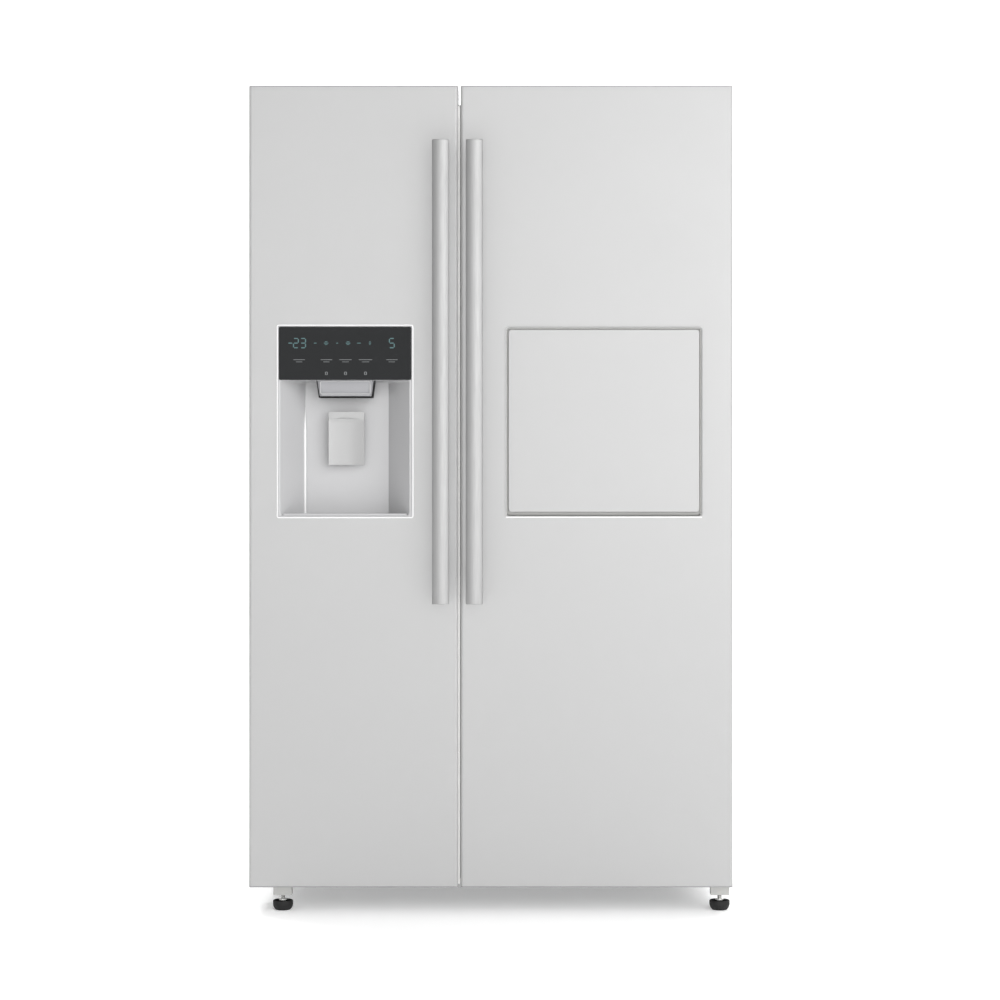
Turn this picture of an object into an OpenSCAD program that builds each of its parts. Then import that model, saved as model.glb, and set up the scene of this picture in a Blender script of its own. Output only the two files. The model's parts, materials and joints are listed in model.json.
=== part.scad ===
// Side by side refrigerator: insulated cabinet, freezer door with water and ice dispenser,
// refrigerator door with a drop-down home bar, cooling circuit, shelves, drawers, rollers and feet.
// The origin is on the floor under the middle of the body, X runs to the right, Y to the back, Z up.

/* [Overall] */
// Width over both doors
fridge_w = 1040; // [880:1:1250]
// Height from the floor to the top of the doors
fridge_h = 1780; // [1600:1:2136]
// Depth of the cabinet without its doors
cabinet_d = 620; // [560:1:744]

/* [Doors] */
// Width of the freezer door
left_door_w = 450; // [420:1:480]
// Gap between the two doors
door_gap = 5; // [4:0.5:8]
// Thickness of a door from its face to its back
door_t = 70; // [60:1:84]
// Height of the doors' lower edge above the floor
door_z0 = 58; // [56:1:66]
// Radius of the doors' upright front edges
door_r = 7; // [3:0.5:10]
// Thickness of the door's sheet steel
skin_t = 1; // [0.6:0.1:1.4]
// Thickness of the rubber gasket behind a door
gasket_t = 12; // [10:1:15]
// Distance of the door pivot from the door's outer side
pivot_in = 15; // [13:1:18]
// Distance of the door pivot from the door's back
pivot_back = 14; // [13:1:16]
// Radius of a hinge pin
pin_r = 5; // [4:0.5:6]
// Running clearance of a pin in its bush
pin_gap = 0.05; // [0.02:0.01:0.1]

/* [Handles] */
// Length of a door handle
handle_l = 990; // [800:1:1100]
// Width of a door handle
handle_w = 36; // [28:1:43]
// Distance of the handle's face from the door
handle_out = 50; // [42:1:60]
// Height of the handles' lower ends
handle_z0 = 668; // [560:1:740]
// Distance of the left handle's middle from its door's free edge
left_handle_in = 37; // [30:1:44]
// Distance of the right handle's middle from its door's free edge
right_handle_in = 30; // [26:1:40]

/* [Dispenser] */
// Width of the dispenser's surround
disp_w = 294; // [260:1:300]
// Distance of the surround from the freezer door's hinge side
disp_in = 60; // [50:1:70]
// Height of the surround's lower edge
disp_z0 = 851; // [780:1:900]
// Height of the surround
disp_h = 416; // [380:1:440]
// Height of the dark control panel
panel_h = 115; // [96:1:130]
// Depth of the niche behind the door's face
niche_d = 78; // [65:1:90]
// Slant of each niche side wall, seen from above
niche_splay = 48; // [30:1:56]
// Width of the ice chute
chute_w = 122; // [100:1:130]
// Height of the ice chute
chute_h = 34; // [28:1:40]
// Width of the paddle
paddle_w = 77; // [64:1:92]
// Height of the paddle
paddle_h = 114; // [95:1:130]
// Distance of the paddle in front of the niche's back wall
paddle_off = 24; // [20:1:30]

/* [Home bar] */
// Width of the home bar's frame
bar_w = 426; // [360:1:450]
// Distance of the frame from the door's free edge
bar_in = 95; // [80:1:110]
// Height of the frame's lower edge
bar_z0 = 851; // [780:1:900]
// Height of the frame
bar_h = 413; // [350:1:440]
// Gap around the flap
flap_gap = 3.5; // [2.5:0.5:5]
// Gap below the flap
flap_gap_low = 9; // [8:0.5:12]
// Thickness of the flap
flap_t = 40; // [34:1:48]

/* [Cabinet] */
// Distance of the case's sides behind the doors' outer sides
case_in = 3; // [0:0.5:5]
// Height of the case's lower edge
case_z0 = 64; // [63:1:72]
// Distance of the case's top below the doors' top
case_drop = 28; // [26:1:36]
// Thickness of the case's sheet steel
case_t = 1; // [0.6:0.1:1.2]
// Thickness of the insulation in the sides, the top and the partition
wall_t = 52; // [43:0.1:62]
// Thickness of the insulation in the back
back_t = 60; // [50:1:70]
// Thickness of the plastic liners
liner_t = 1.5; // [1:0.1:2.5]
// Depth of the compressor compartment
machine_d = 225; // [200:1:250]
// Height of the compressor compartment's roof
machine_z1 = 300; // [280:1:330]

/* [Shelves and drawers] */
// Distance of the shelves behind the cabinet's front
shelf_front = 135; // [130:1:150]
// Thickness of a glass shelf
glass_t = 4; // [3:0.5:5]
// Number of glass shelves in the refrigerator
fridge_shelf_n = 4; // [3:1:5]
// Number of glass shelves in the freezer
freezer_shelf_n = 3; // [2:1:4]
// Height of a drawer
drawer_h = 165; // [150:1:190]
// Wall thickness of drawers and bins
bin_t = 2.5; // [2:0.5:4]
// Depth of a door bin
bin_d = 95; // [80:1:100]

/* [Feet and rollers] */
// Radius of a levelling foot's cup
foot_r = 22; // [18:0.5:23]
// Distance of the left foot from the door's outer side
left_foot_in = 68; // [50:1:80]
// Distance of the right foot from the door's outer side
right_foot_in = 23; // [23:1:50]
// Radius of a foot's threaded stem
stem_r = 5; // [4:0.5:6]
// Radius of a rear roller
roller_r = 20; // [16:0.5:22]
// Radius of a roller's axle
axle_r = 4; // [3:0.5:5]

/* [Hidden] */
$fn = 48;

steel = "#d4d4d4";
case_grey = "#b9b9b9";
white = "#f2f2f0";
dark = "#3c3c3c";
black = "#1c1c1c";
clear = "#cfe6ea";
copper = "#b87333";
foam_colour = "#e8dcb8";

// Depths, from the handles' faces to the cabinet's back
total_d = handle_out + door_t + gasket_t + cabinet_d;
y_door = handle_out - total_d / 2;
y_liner = y_door + door_t;
y_case = y_liner + gasket_t;
y_back = y_case + cabinet_d;
y_pivot = y_liner - pivot_back;

// Doors, seen from the front
left_x0 = -fridge_w / 2;
left_x1 = left_x0 + left_door_w;
right_x0 = left_x1 + door_gap;
right_x1 = fridge_w / 2;
door_z1 = fridge_h;
cap_rim = 2;
cap_plug = 14;
return_w = 16;

// Cabinet and its two compartments
case_x = fridge_w / 2 - case_in;
case_z1 = fridge_h - case_drop;
mid_x = (left_x1 + right_x0) / 2;
fz_x0 = -case_x + wall_t;
fz_x1 = mid_x - wall_t / 2;
fr_x0 = mid_x + wall_t / 2;
fr_x1 = case_x - wall_t;
cav_z0 = case_z0 + wall_t + 6;
cav_z1 = case_z1 - wall_t;
cav_y1 = y_back - back_t;
step_z = machine_z1 + wall_t;
low_y1 = y_back - machine_d - wall_t;
flange_w = wall_t - liner_t;
low_flange_h = cav_z0 - liner_t - case_z0;

// Hinges
hinge_t = 4;
hinge_plate_w = 24;
bush_d = 18;
bush_w = 24;
bracket_z1 = door_z0 - 2;
notch_x = pivot_in + 18;
notch_y = pivot_back + 27;

// Dispenser
disp_x0 = left_x0 + disp_in;
disp_x1 = disp_x0 + disp_w;
disp_z1 = disp_z0 + disp_h;
rim_w = 4;
rim_out = 1.5;
panel_z0 = disp_z1 - rim_w - panel_h;
niche_x0 = disp_x0 + 8;
niche_x1 = disp_x1 - 9;
niche_mid = (niche_x0 + niche_x1) / 2;
niche_z0 = disp_z0 + 6;
niche_t = 2;
bulge_d = 48;
bulge_edge = 14;
paddle_z1 = panel_z0 - chute_h - 34;
paddle_pivot_z = paddle_z1 - 4;
paddle_pin_r = 2.5;
paddle_y = y_door + niche_d - paddle_off;
chute_y0 = y_door + 14;
chute_y1 = y_door + niche_d - 8;
outlet_r = 24;
chute_flap_z = panel_z0 - 10;

// Home bar
bar_x0 = right_x0 + bar_in;
bar_x1 = bar_x0 + bar_w;
bar_z1 = bar_z0 + bar_h;
bar_rim = 4.5;
flap_x0 = bar_x0 + bar_rim + flap_gap;
flap_x1 = bar_x1 - bar_rim - flap_gap;
flap_z0 = bar_z0 + bar_rim + flap_gap_low;
flap_z1 = bar_z1 - bar_rim - flap_gap;
flap_front = 18;
flap_step = 14;
flap_pin_r = 3;
flap_pivot_y = y_door + 8;
flap_pivot_z = flap_z0 + 6;
bar_stop = 10;

// Door bins
dyke_w = 22;
dyke_h = 26;
dyke_in = 66;
dyke_t = 2;
bin_h = 90;
dyke_z0 = cav_z0 + 30;
dyke_z1 = cav_z1 - 30;
back_z0 = door_z0 + cap_rim + cap_plug;
back_z1 = door_z1 - cap_rim - cap_plug;

// Machine compartment
comp_x = 300;
comp_y = y_back - 120;
comp_r = 72;
rail_w = 40;
rail_h = 22;
rail_in = 28;
roller_w = 24;
roller_y = y_back - 70;
fan_y = y_back - 120;
cond_fan_x = 60;
cond_fan_z = 175;
fan_r = 60;
shaft_r = 2.5;
shroud_half = 80;
evap_d = 62;
evap_z0 = step_z + 40;
evap_fan_z = evap_z0 + 420;
fz_mid = (fz_x0 + fz_x1) / 2;
fr_mid = (fr_x0 + fr_x1) / 2;
gland_x = case_x - 40;
valve_x = -case_x + 40;
gland_z = case_z0 + 50;
gland_bore = 4.5;
valve_bore = 3.2;
evap_fan_y = cav_y1 - 30;

// Shelves and drawers
fz_shelf_y1 = cav_y1 - evap_d - 6;
fr_shelf_y1 = cav_y1 - 34;
drawer_gap = 4;
drawer_y0 = y_case + shelf_front + 12;
lower_drawer_z = cav_z0 + 1;
upper_drawer_z = step_z + 6;
shelf_rib = 7;
rib_t = 5;
shelves_z0 = upper_drawer_z + drawer_h + 24;
ice_h = 250;
fz_shelf_z1 = cav_z1 - ice_h - 150;
fr_shelf_z1 = cav_z1 - 230;
fz_shelf_z = [for (i = [0:freezer_shelf_n - 1])
    shelves_z0 + i * (fz_shelf_z1 - shelves_z0) / (freezer_shelf_n - 1)];
fr_shelf_z = [for (i = [0:fridge_shelf_n - 1])
    shelves_z0 + i * (fr_shelf_z1 - shelves_z0) / (fridge_shelf_n - 1)];

// Feet
foot_y = y_door + 62;
left_foot_x = left_x0 + left_foot_in;
right_foot_x = right_x1 - right_foot_in;
cup_h = 21;
boss_h = 18;

// A box between two corners
module slab(a, b) {
    translate(a) cube(b - a);
}

// A box with one open side: open has +1 or -1 on the axis whose high or low side is left open
module open_box(a, b, t, open) {
    low = [for (i = [0:2]) open[i] < 0 ? a[i] - 1 : a[i] + t];
    high = [for (i = [0:2]) open[i] > 0 ? b[i] + 1 : b[i] - t];
    difference() {
        slab(a, b);
        slab(low, high);
    }
}

// A flat ring seen from the front, between two depths
module ring_y(x0, x1, z0, z1, w, y0, y1) {
    difference() {
        slab([x0, y0, z0], [x1, y1, z1]);
        slab([x0 + w, y0 - 1, z0 + w], [x1 - w, y1 + 1, z1 - w]);
    }
}

// A cylinder along Y or along X, from a start point
module rod_y(p, r, l) {
    translate(p) rotate([-90, 0, 0]) cylinder(r = r, h = l);
}
module rod_x(p, r, l) {
    translate(p) rotate([0, 90, 0]) cylinder(r = r, h = l);
}

// Points of an arc
function arc(cx, cy, r, a0, a1, n = 8) = [for (i = [0:n])
    [cx + r * cos(a0 + (a1 - a0) * i / n), cy + r * sin(a0 + (a1 - a0) * i / n)]];

// Outline of a door seen from above, with rounded front edges
module door_outline(x0, x1, in) {
    r = door_r - in;
    polygon(concat(
        arc(x0 + door_r, y_door + door_r, r, 180, 270),
        arc(x1 - door_r, y_door + door_r, r, 270, 360),
        [[x1 - in, y_liner - in], [x0 + in, y_liner - in]]));
}

// The corner that a door leaves free above and behind its upper hinge
module hinge_notch(side) {
    x = side < 0 ? left_x0 : right_x1;
    slab([min(x - side * notch_x, x + side), y_liner - notch_y, case_z1 - 2],
        [max(x - side * notch_x, x + side), y_liner + 1, door_z1 + 1]);
}

// The upper cap's block around the notch, which holds the upper bush
module bush_block(side) {
    x = side < 0 ? left_x0 + skin_t : right_x1 - skin_t;
    slab([min(x - side * (notch_x + 2), x), y_liner - notch_y - 2, case_z1 - 2 - bush_d - 4],
        [max(x - side * (notch_x + 2), x), y_liner - skin_t - liner_t, door_z1 - cap_rim - cap_plug]);
}

// The lower cap's block that holds the lower bush
module low_bush_block(side) {
    px = side * (fridge_w / 2 - pivot_in);
    slab([px - bush_w / 2, y_pivot - bush_w, door_z0 + cap_rim + cap_plug],
        [px + bush_w / 2, y_liner - skin_t - liner_t, door_z0 + cap_rim + cap_plug + bush_d]);
}

// Sheet steel wrapper of a door: face, two sides and the returned rear edges
module door_skin(x0, x1, side) {
    difference() {
        translate([0, 0, door_z0 + cap_rim])
            linear_extrude(door_z1 - door_z0 - 2 * cap_rim)
            difference() {
                door_outline(x0, x1, 0);
                door_outline(x0, x1, skin_t);
                translate([x0 + return_w, y_door + door_t / 2])
                    square([x1 - x0 - 2 * return_w, door_t]);
            }
        hinge_notch(side);
    }
}

// Plastic end caps of a door, with the bushes of its two hinge pins
module door_caps(x0, x1, side) {
    px = side < 0 ? x0 + pivot_in : x1 - pivot_in;
    difference() {
        union() {
            translate([0, 0, door_z1 - cap_rim]) linear_extrude(cap_rim) door_outline(x0, x1, 0);
            translate([0, 0, door_z1 - cap_rim - cap_plug])
                linear_extrude(cap_plug) door_outline(x0, x1, skin_t);
            bush_block(side);
        }
        hinge_notch(side);
        translate([px, y_pivot, case_z1 - 2 - bush_d]) cylinder(r = pin_r + pin_gap, h = bush_d + 1);
    }
    difference() {
        union() {
            translate([0, 0, door_z0]) linear_extrude(cap_rim) door_outline(x0, x1, 0);
            translate([0, 0, door_z0 + cap_rim]) linear_extrude(cap_plug) door_outline(x0, x1, skin_t);
            low_bush_block(side);
        }
        translate([px, y_pivot, door_z0 - 1]) cylinder(r = pin_r + pin_gap, h = bush_d + 4);
    }
}

// Everything inside a door's skin, in front of its liner
module door_fill(x0, x1, side) {
    difference() {
        translate([0, 0, door_z0 + cap_rim + cap_plug])
            linear_extrude(door_z1 - door_z0 - 2 * (cap_rim + cap_plug))
            intersection() {
                door_outline(x0, x1, skin_t);
                translate([x0, y_door]) square([x1 - x0, door_t - liner_t - skin_t]);
            }
        bush_block(side);
        low_bush_block(side);
        hinge_notch(side);
    }
}

// The door's back sheet, between its returned rear edges
module back_sheet(x0, x1, side) {
    difference() {
        slab([x0 + return_w, y_liner - skin_t - liner_t, back_z0], [x1 - return_w, y_liner, back_z1]);
        hinge_notch(side);
    }
}

// Back sheet of a door with two hollow upright ribs that carry the bins
module door_back(x0, x1, side) {
    back_sheet(x0, x1, side);
    for (x = [x0 + dyke_in, x1 - dyke_in - dyke_w]) difference() {
        slab([x, y_liner, dyke_z0], [x + dyke_w, y_liner + gasket_t + dyke_h, dyke_z1]);
        slab([x + dyke_t, y_liner - 1, dyke_z0 + dyke_t],
            [x + dyke_w - dyke_t, y_liner + gasket_t + dyke_h - dyke_t, dyke_z1 - dyke_t]);
    }
}

// Magnetic gasket ring behind a door, clear of the pivot on its hinge side
module door_gasket(x0, x1, hinge_in, free_in) {
    ring_y(x0 + hinge_in, x1 - free_in, case_z0 + 4, case_z1 - 18, 12, y_liner, y_case - 0.3);
}

// Vertical bar handle with a bowed face and two standoffs
module handle(x) {
    z1 = handle_z0 + handle_l;
    y0 = y_door - handle_out;
    bow = 6;
    half = handle_w / 2;
    bar_d = 20;
    bevel = 3;
    foot_in = 70;
    foot_half_w = 9;
    foot_half_h = 22;
    bow_r = (half * half + bow * bow) / (2 * bow);
    bow_a = asin(half / bow_r);
    translate([x, 0, handle_z0]) linear_extrude(handle_l)
        polygon(concat(arc(0, y0 + bow_r, bow_r, 270 - bow_a, 270 + bow_a, 12),
            [[half, y0 + bar_d], [half - bevel, y0 + bar_d + bevel],
                [bevel - half, y0 + bar_d + bevel], [-half, y0 + bar_d]]));
    for (z = [handle_z0 + foot_in, z1 - foot_in])
        slab([x - foot_half_w, y0 + bar_d + 2, z - foot_half_h],
            [x + foot_half_w, y_door, z + foot_half_h]);
}

// A bin for bottles and jars between the door's ribs, open at the top
module door_bin(x0, x1, z) {
    y0 = y_liner;
    open_box([x0 + 0.3, y0, z], [x1 - 0.3, y0 + gasket_t + bin_d, z + bin_h], bin_t, [0, 0, 1]);
}
module door_bins(x0, x1, heights) {
    for (z = heights)
        door_bin(x0 + dyke_in + dyke_w, x1 - dyke_in - dyke_w, z);
}

/* Cabinet */

module outer_case() {
    color(case_grey) {
        for (s = [-1, 1]) {
            x = s * case_x;
            slab([min(x, x - s * case_t), y_case, case_z0], [max(x, x - s * case_t), y_back, case_z1]);
            slab([min(x, x - s * flange_w), y_case, case_z0],
                [max(x, x - s * flange_w), y_case + case_t, case_z1]);
        }
        slab([-case_x, y_case, case_z1 - case_t], [case_x, y_back, case_z1]);
        slab([-case_x, y_case, case_z1 - flange_w], [case_x, y_case + case_t, case_z1]);
    }
}

module back_panel() {
    color(case_grey)
        slab([-case_x + case_t, y_back - case_t, machine_z1],
            [case_x - case_t, y_back, case_z1 - case_t]);
}

module bottom_deck() {
    y1 = y_back - machine_d;
    color(case_grey) {
        slab([-case_x + case_t, y_case + case_t, case_z0], [case_x - case_t, y1, case_z0 + case_t]);
        slab([-case_x + flange_w, y_case, case_z0],
            [case_x - flange_w, y_case + case_t, case_z0 + low_flange_h]);
        slab([-case_x + case_t, y1 - case_t, case_z0], [case_x - case_t, y1, machine_z1]);
        slab([-case_x + case_t, y1 - case_t, machine_z1 - case_t],
            [case_x - case_t, y_back - case_t, machine_z1]);
    }
}

// Space inside one compartment, stepped over the compressor
module compartment(x0, x1, grow, front) {
    slab([x0 - grow, front, cav_z0 - grow], [x1 + grow, low_y1 + grow, step_z + grow]);
    slab([x0 - grow, front, step_z - grow], [x1 + grow, cav_y1 + grow, cav_z1 + grow]);
}

module cabinet_foam() {
    color(foam_colour) difference() {
        slab([-case_x + case_t, y_case + case_t, case_z0 + case_t],
            [case_x - case_t, y_back - case_t, case_z1 - case_t]);
        slab([-case_x, y_back - machine_d - case_t, case_z0 - 1], [case_x, y_back, machine_z1]);
        compartment(fz_x0, fz_x1, liner_t, y_case);
        compartment(fr_x0, fr_x1, liner_t, y_case);
    }
}

// Moulded liner of one compartment with the ledges that carry its shelves
module liner(x0, x1, heights, rib_y1) {
    difference() {
        compartment(x0, x1, liner_t, y_case + case_t);
        compartment(x0, x1, 0, y_case);
    }
    for (z = heights, s = [-1, 1]) {
        x = s < 0 ? x0 : x1;
        slab([min(x, x - s * shelf_rib), y_case + shelf_front, z - rib_t],
            [max(x, x - s * shelf_rib), rib_y1, z]);
    }
}
module freezer_liner() {
    color(white) liner(fz_x0, fz_x1, concat([upper_drawer_z - 0.5], fz_shelf_z), fz_shelf_y1);
}
module fridge_liner() {
    color(white) liner(fr_x0, fr_x1, concat([upper_drawer_z - 0.5], fr_shelf_z), fr_shelf_y1);
}

module mullion_rail() {
    color(case_grey)
        slab([fz_x1 + liner_t, y_case, case_z0 + low_flange_h],
            [fr_x0 - liner_t, y_case + case_t, case_z1 - flange_w]);
}

// Two steel rails under the case, a cross member, the compressor's tray and the rollers' axles
module chassis_rails() {
    color(case_grey) {
        for (s = [-1, 1]) {
            x = s * (case_x - rail_in);
            slab([min(x, x - s * rail_w), y_case + 34, case_z0 - rail_h],
                [max(x, x - s * rail_w), y_back - 20, case_z0]);
            for (dx = [-roller_w / 2 - 4, roller_w / 2 + 1])
                slab([x - s * rail_w / 2 + dx, roller_y - 14, roller_r - 10],
                    [x - s * rail_w / 2 + dx + 3, roller_y + 14, case_z0 - rail_h]);
            rod_x([x - s * rail_w / 2 - roller_w / 2 - 7, roller_y, roller_r], axle_r, roller_w + 14);
        }
        slab([-case_x + case_t, y_back - machine_d, case_z0],
            [case_x - case_t, y_back - case_t, case_z0 + 2]);
        slab([-case_x + rail_in + rail_w, y_case + 95, case_z0 - 12],
            [case_x - rail_in - rail_w, y_case + 117, case_z0]);
    }
}

module hinge_brackets() {
    color("#9a9a9a") for (s = [-1, 1]) {
        px = s * (fridge_w / 2 - pivot_in);
        foot_x = s < 0 ? left_foot_x : right_foot_x;
        outer = s * (fridge_w / 2 - pivot_in + hinge_plate_w / 2 - 1);
        inner = s * (fridge_w / 2 - pivot_in - 46);
        // Upper hinge: a plate on the case, an arm and the pin that hangs from it
        slab([min(outer, inner), y_case + 6, case_z1], [max(outer, inner), y_case + 86, case_z1 + hinge_t]);
        slab([px - hinge_plate_w / 2 + 1, y_pivot, case_z1],
            [px + hinge_plate_w / 2 - 1, y_case + 7, case_z1 + hinge_t]);
        translate([px, y_pivot, case_z1]) cylinder(r = hinge_plate_w / 2 - 1, h = hinge_t);
        translate([px, y_pivot, case_z1 - 16]) cylinder(r = pin_r, h = 17);
        // Lower hinge: a plate below the case, its pin, and the threaded block of the foot
        plate_in = foot_x - s * 22;
        plate_out = s * (fridge_w / 2 - 2);
        difference() {
            union() {
                slab([min(plate_in, plate_out), foot_y - 16, bracket_z1 - 5],
                    [max(plate_in, plate_out), y_case + 90, bracket_z1]);
                slab([min(plate_in, plate_out), y_case + 36, bracket_z1 - 1],
                    [max(plate_in, plate_out), y_case + 90, case_z0]);
                slab([foot_x - 20, foot_y - 13, bracket_z1 - 5 - boss_h],
                    [foot_x + 20, foot_y + 13, bracket_z1 - 4]);
            }
            rails_x = s * (case_x - rail_in);
            slab([min(rails_x + s * 0.5, rails_x - s * (rail_w + 0.5)), y_case + 33, case_z0 - rail_h - 1],
                [max(rails_x + s * 0.5, rails_x - s * (rail_w + 0.5)), y_case + 91, case_z0 + 1]);
            translate([foot_x, foot_y, bracket_z1 - 6 - boss_h])
                cylinder(r = stem_r + pin_gap, h = boss_h + 4);
        }
        translate([px, y_pivot, bracket_z1 - 1]) cylinder(r = pin_r, h = bush_d + 1);
    }
}

module hinge_covers() {
    color(dark) for (s = [-1, 1]) {
        outer = s * (fridge_w / 2 - pivot_in + hinge_plate_w / 2 + 1);
        inner = s * (fridge_w / 2 - pivot_in - 60);
        px = s * (fridge_w / 2 - pivot_in);
        difference() {
            open_box([min(outer, inner), y_case + 3, case_z1],
                [max(outer, inner), y_case + 100, case_z1 + 24], 2, [0, 0, -1]);
            slab([px - hinge_plate_w / 2, y_case, case_z1 - 1],
                [px + hinge_plate_w / 2, y_case + 7, case_z1 + hinge_t + 1]);
        }
    }
}

// Round-headed screws that hold the upper hinge plates
module hinge_screws() {
    color("#8a8a8a") for (s = [-1, 1], dy = [34, 66], dx = [8, 34]) {
        x = s * (fridge_w / 2 - pivot_in - dx);
        translate([x, y_case + dy, case_z1 + hinge_t]) cylinder(r = 6, h = 3);
    }
}

/* Inside the compartments */

module shelf_glass(x0, x1, y1, z) {
    slab([x0 + 1, y_case + shelf_front + 5, z], [x1 - 1, y1, z + glass_t]);
}
module glass_shelves() {
    color(clear, 0.4) {
        for (z = fz_shelf_z) shelf_glass(fz_x0, fz_x1, fz_shelf_y1, z);
        for (z = fr_shelf_z) shelf_glass(fr_x0, fr_x1, fr_shelf_y1, z);
    }
}

// Plastic front edge that grips a glass shelf
module shelf_trim(x0, x1, z) {
    difference() {
        slab([x0 + 1, y_case + shelf_front - 8, z - 4], [x1 - 1, y_case + shelf_front + 14, z + glass_t + 4]);
        slab([x0, y_case + shelf_front + 5, z], [x1, y_case + shelf_front + 15, z + glass_t]);
        for (x = [x0, x1 - shelf_rib - 1])
            slab([x, y_case + shelf_front - 1, z - 5], [x + shelf_rib + 1, y_case + shelf_front + 15, z]);
    }
}
module shelf_trims() {
    color(white) {
        for (z = fz_shelf_z) shelf_trim(fz_x0, fz_x1, z);
        for (z = fr_shelf_z) shelf_trim(fr_x0, fr_x1, z);
    }
}

// Covers in front of the evaporator and the refrigerator's air duct, with their air slots
module rear_duct_covers() {
    color(white) {
        difference() {
            open_box([fz_x0 + 1, cav_y1 - evap_d, step_z + 1], [fz_x1 - 1, cav_y1, cav_z1 - ice_h - 20],
                2, [0, 1, 0]);
            rod_y([fz_mid, cav_y1 - evap_d - 1, evap_fan_z], fan_r + 6, 4);
            for (i = [0:5])
                slab([fz_mid - 90, cav_y1 - evap_d - 1, evap_z0 + i * 14],
                    [fz_mid + 90, cav_y1 - evap_d + 3, evap_z0 + i * 14 + 6]);
        }
        difference() {
            open_box([fr_mid - 90, cav_y1 - 26, step_z + 60], [fr_mid + 90, cav_y1, cav_z1 - 40],
                2, [0, 1, 0]);
            for (z = fr_shelf_z, s = [-1, 1])
                slab([fr_mid + s * 50 - 25, cav_y1 - 27, z + 90],
                    [fr_mid + s * 50 + 25, cav_y1 - 23, z + 98]);
        }
    }
}

// Serpentine tube with flat fins; w is its width and rows the number of its runs
module serpentine(w, rows, pitch, r) {
    for (i = [0:rows - 1]) rod_x([-w / 2, 0, i * pitch], r, w);
    for (i = [0:rows - 2]) {
        s = i % 2 == 0 ? 1 : -1;
        translate([s * w / 2, 0, (i + 0.5) * pitch]) rotate([90, 0, 0]) rotate([0, 0, s > 0 ? -90 : 90])
            rotate_extrude(angle = 180) translate([pitch / 2, 0]) circle(r = r, $fn = 16);
    }
}
module evaporator_coil() {
    color("#c9cbcc") translate([fz_mid, cav_y1 - 28, evap_z0 + 14]) {
        serpentine(240, 10, 28, 4);
        for (i = [0:11]) slab([-110 + i * 20, -14, -10], [-109.4 + i * 20, 14, 9 * 28 + 10]);
    }
}

// A round motor on a straight holder, with its shaft towards the front
module fan_motor(arm) {
    rod_y([0, 10, 0], 22, 20);
    slab([-arm, 24, -5], [arm, 30, 5]);
    rod_y([0, -16, 0], shaft_r, 28);
}
module fan_motors() {
    color(dark) {
        translate([fz_mid, evap_fan_y, evap_fan_z]) fan_motor(shroud_half);
        translate([cond_fan_x, fan_y, cond_fan_z]) rotate([0, 0, 90]) fan_motor(shroud_half);
    }
}

// Fan wheel: a hub with a bore and pitched blades
module fan_wheel() {
    difference() {
        union() {
            rod_y([0, -13, 0], 14, 16);
            for (a = [0:60:300]) rotate([0, a, 0])
                translate([0, -5, 10]) rotate([0, 0, 24]) slab([-15, -0.8, 0], [15, 0.8, fan_r - 14]);
        }
        rod_y([0, -14, 0], shaft_r + pin_gap, 20);
    }
}
module evaporator_fan() {
    color("#e4e4e4") translate([fz_mid, evap_fan_y, evap_fan_z]) fan_wheel();
}
module condenser_fan() {
    color("#2c2c2c") translate([cond_fan_x, fan_y, cond_fan_z]) rotate([0, 0, 90]) fan_wheel();
}

module lamp_covers() {
    color("#fbfbf4", 0.8) {
        slab([fz_mid - 60, y_case + 60, cav_z1 - 16], [fz_mid + 60, y_case + 110, cav_z1]);
        slab([fr_mid - 90, y_case + 60, cav_z1 - 16], [fr_mid + 90, y_case + 110, cav_z1]);
    }
}

module ice_maker() {
    color("#dcdcdc") {
        slab([fz_x0 + 20, cav_y1 - 300, cav_z1 - 60], [fz_x1 - 20, cav_y1 - 40, cav_z1]);
        slab([fz_x0 + 60, cav_y1 - 280, cav_z1 - 84], [fz_x1 - 60, cav_y1 - 80, cav_z1 - 60]);
    }
}
module ice_bucket() {
    color(clear, 0.6) difference() {
        open_box([fz_x0 + 14, y_case + 130, cav_z1 - ice_h], [fz_x1 - 14, cav_y1 - 30, cav_z1 - 95],
            3, [0, 0, 1]);
        slab([fz_mid - 40, y_case + 129, cav_z1 - ice_h + 12],
            [fz_mid + 40, y_case + 134, cav_z1 - ice_h + 90]);
    }
    color(clear, 0.6) for (s = [-1, 1]) {
        x = s < 0 ? fz_x0 : fz_x1;
        slab([min(x, x - s * 14), y_case + 150, cav_z1 - ice_h + 40],
            [max(x, x - s * 14), cav_y1 - 60, cav_z1 - ice_h + 48]);
    }
}

// Pull-out drawer with a thick front, a finger lip and open top
module drawer(x0, x1, y0, y1, z) {
    a = [x0 + drawer_gap, y0, z];
    b = [x1 - drawer_gap, y1, z + drawer_h];
    open_box(a, b, bin_t, [0, 0, 1]);
    slab([a[0], y0 - 10, z + 4], [b[0], y0, z + drawer_h - 2]);
    slab([a[0] + 30, y0 - 22, z + drawer_h - 16], [b[0] - 30, y0 - 9, z + drawer_h - 10]);
}
module freezer_drawer_upper() {
    color(clear, 0.6) drawer(fz_x0, fz_x1, drawer_y0, fz_shelf_y1 - 4, upper_drawer_z);
}
module freezer_drawer_lower() {
    color(clear, 0.6) drawer(fz_x0, fz_x1, drawer_y0, low_y1 - 6, lower_drawer_z);
}
module crisper_upper() {
    color(clear, 0.6) drawer(fr_x0, fr_x1, drawer_y0, fr_shelf_y1 - 4, upper_drawer_z);
}
module crisper_lower() {
    color(clear, 0.6) drawer(fr_x0, fr_x1, drawer_y0, low_y1 - 6, lower_drawer_z);
}

/* Machine compartment */

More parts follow.
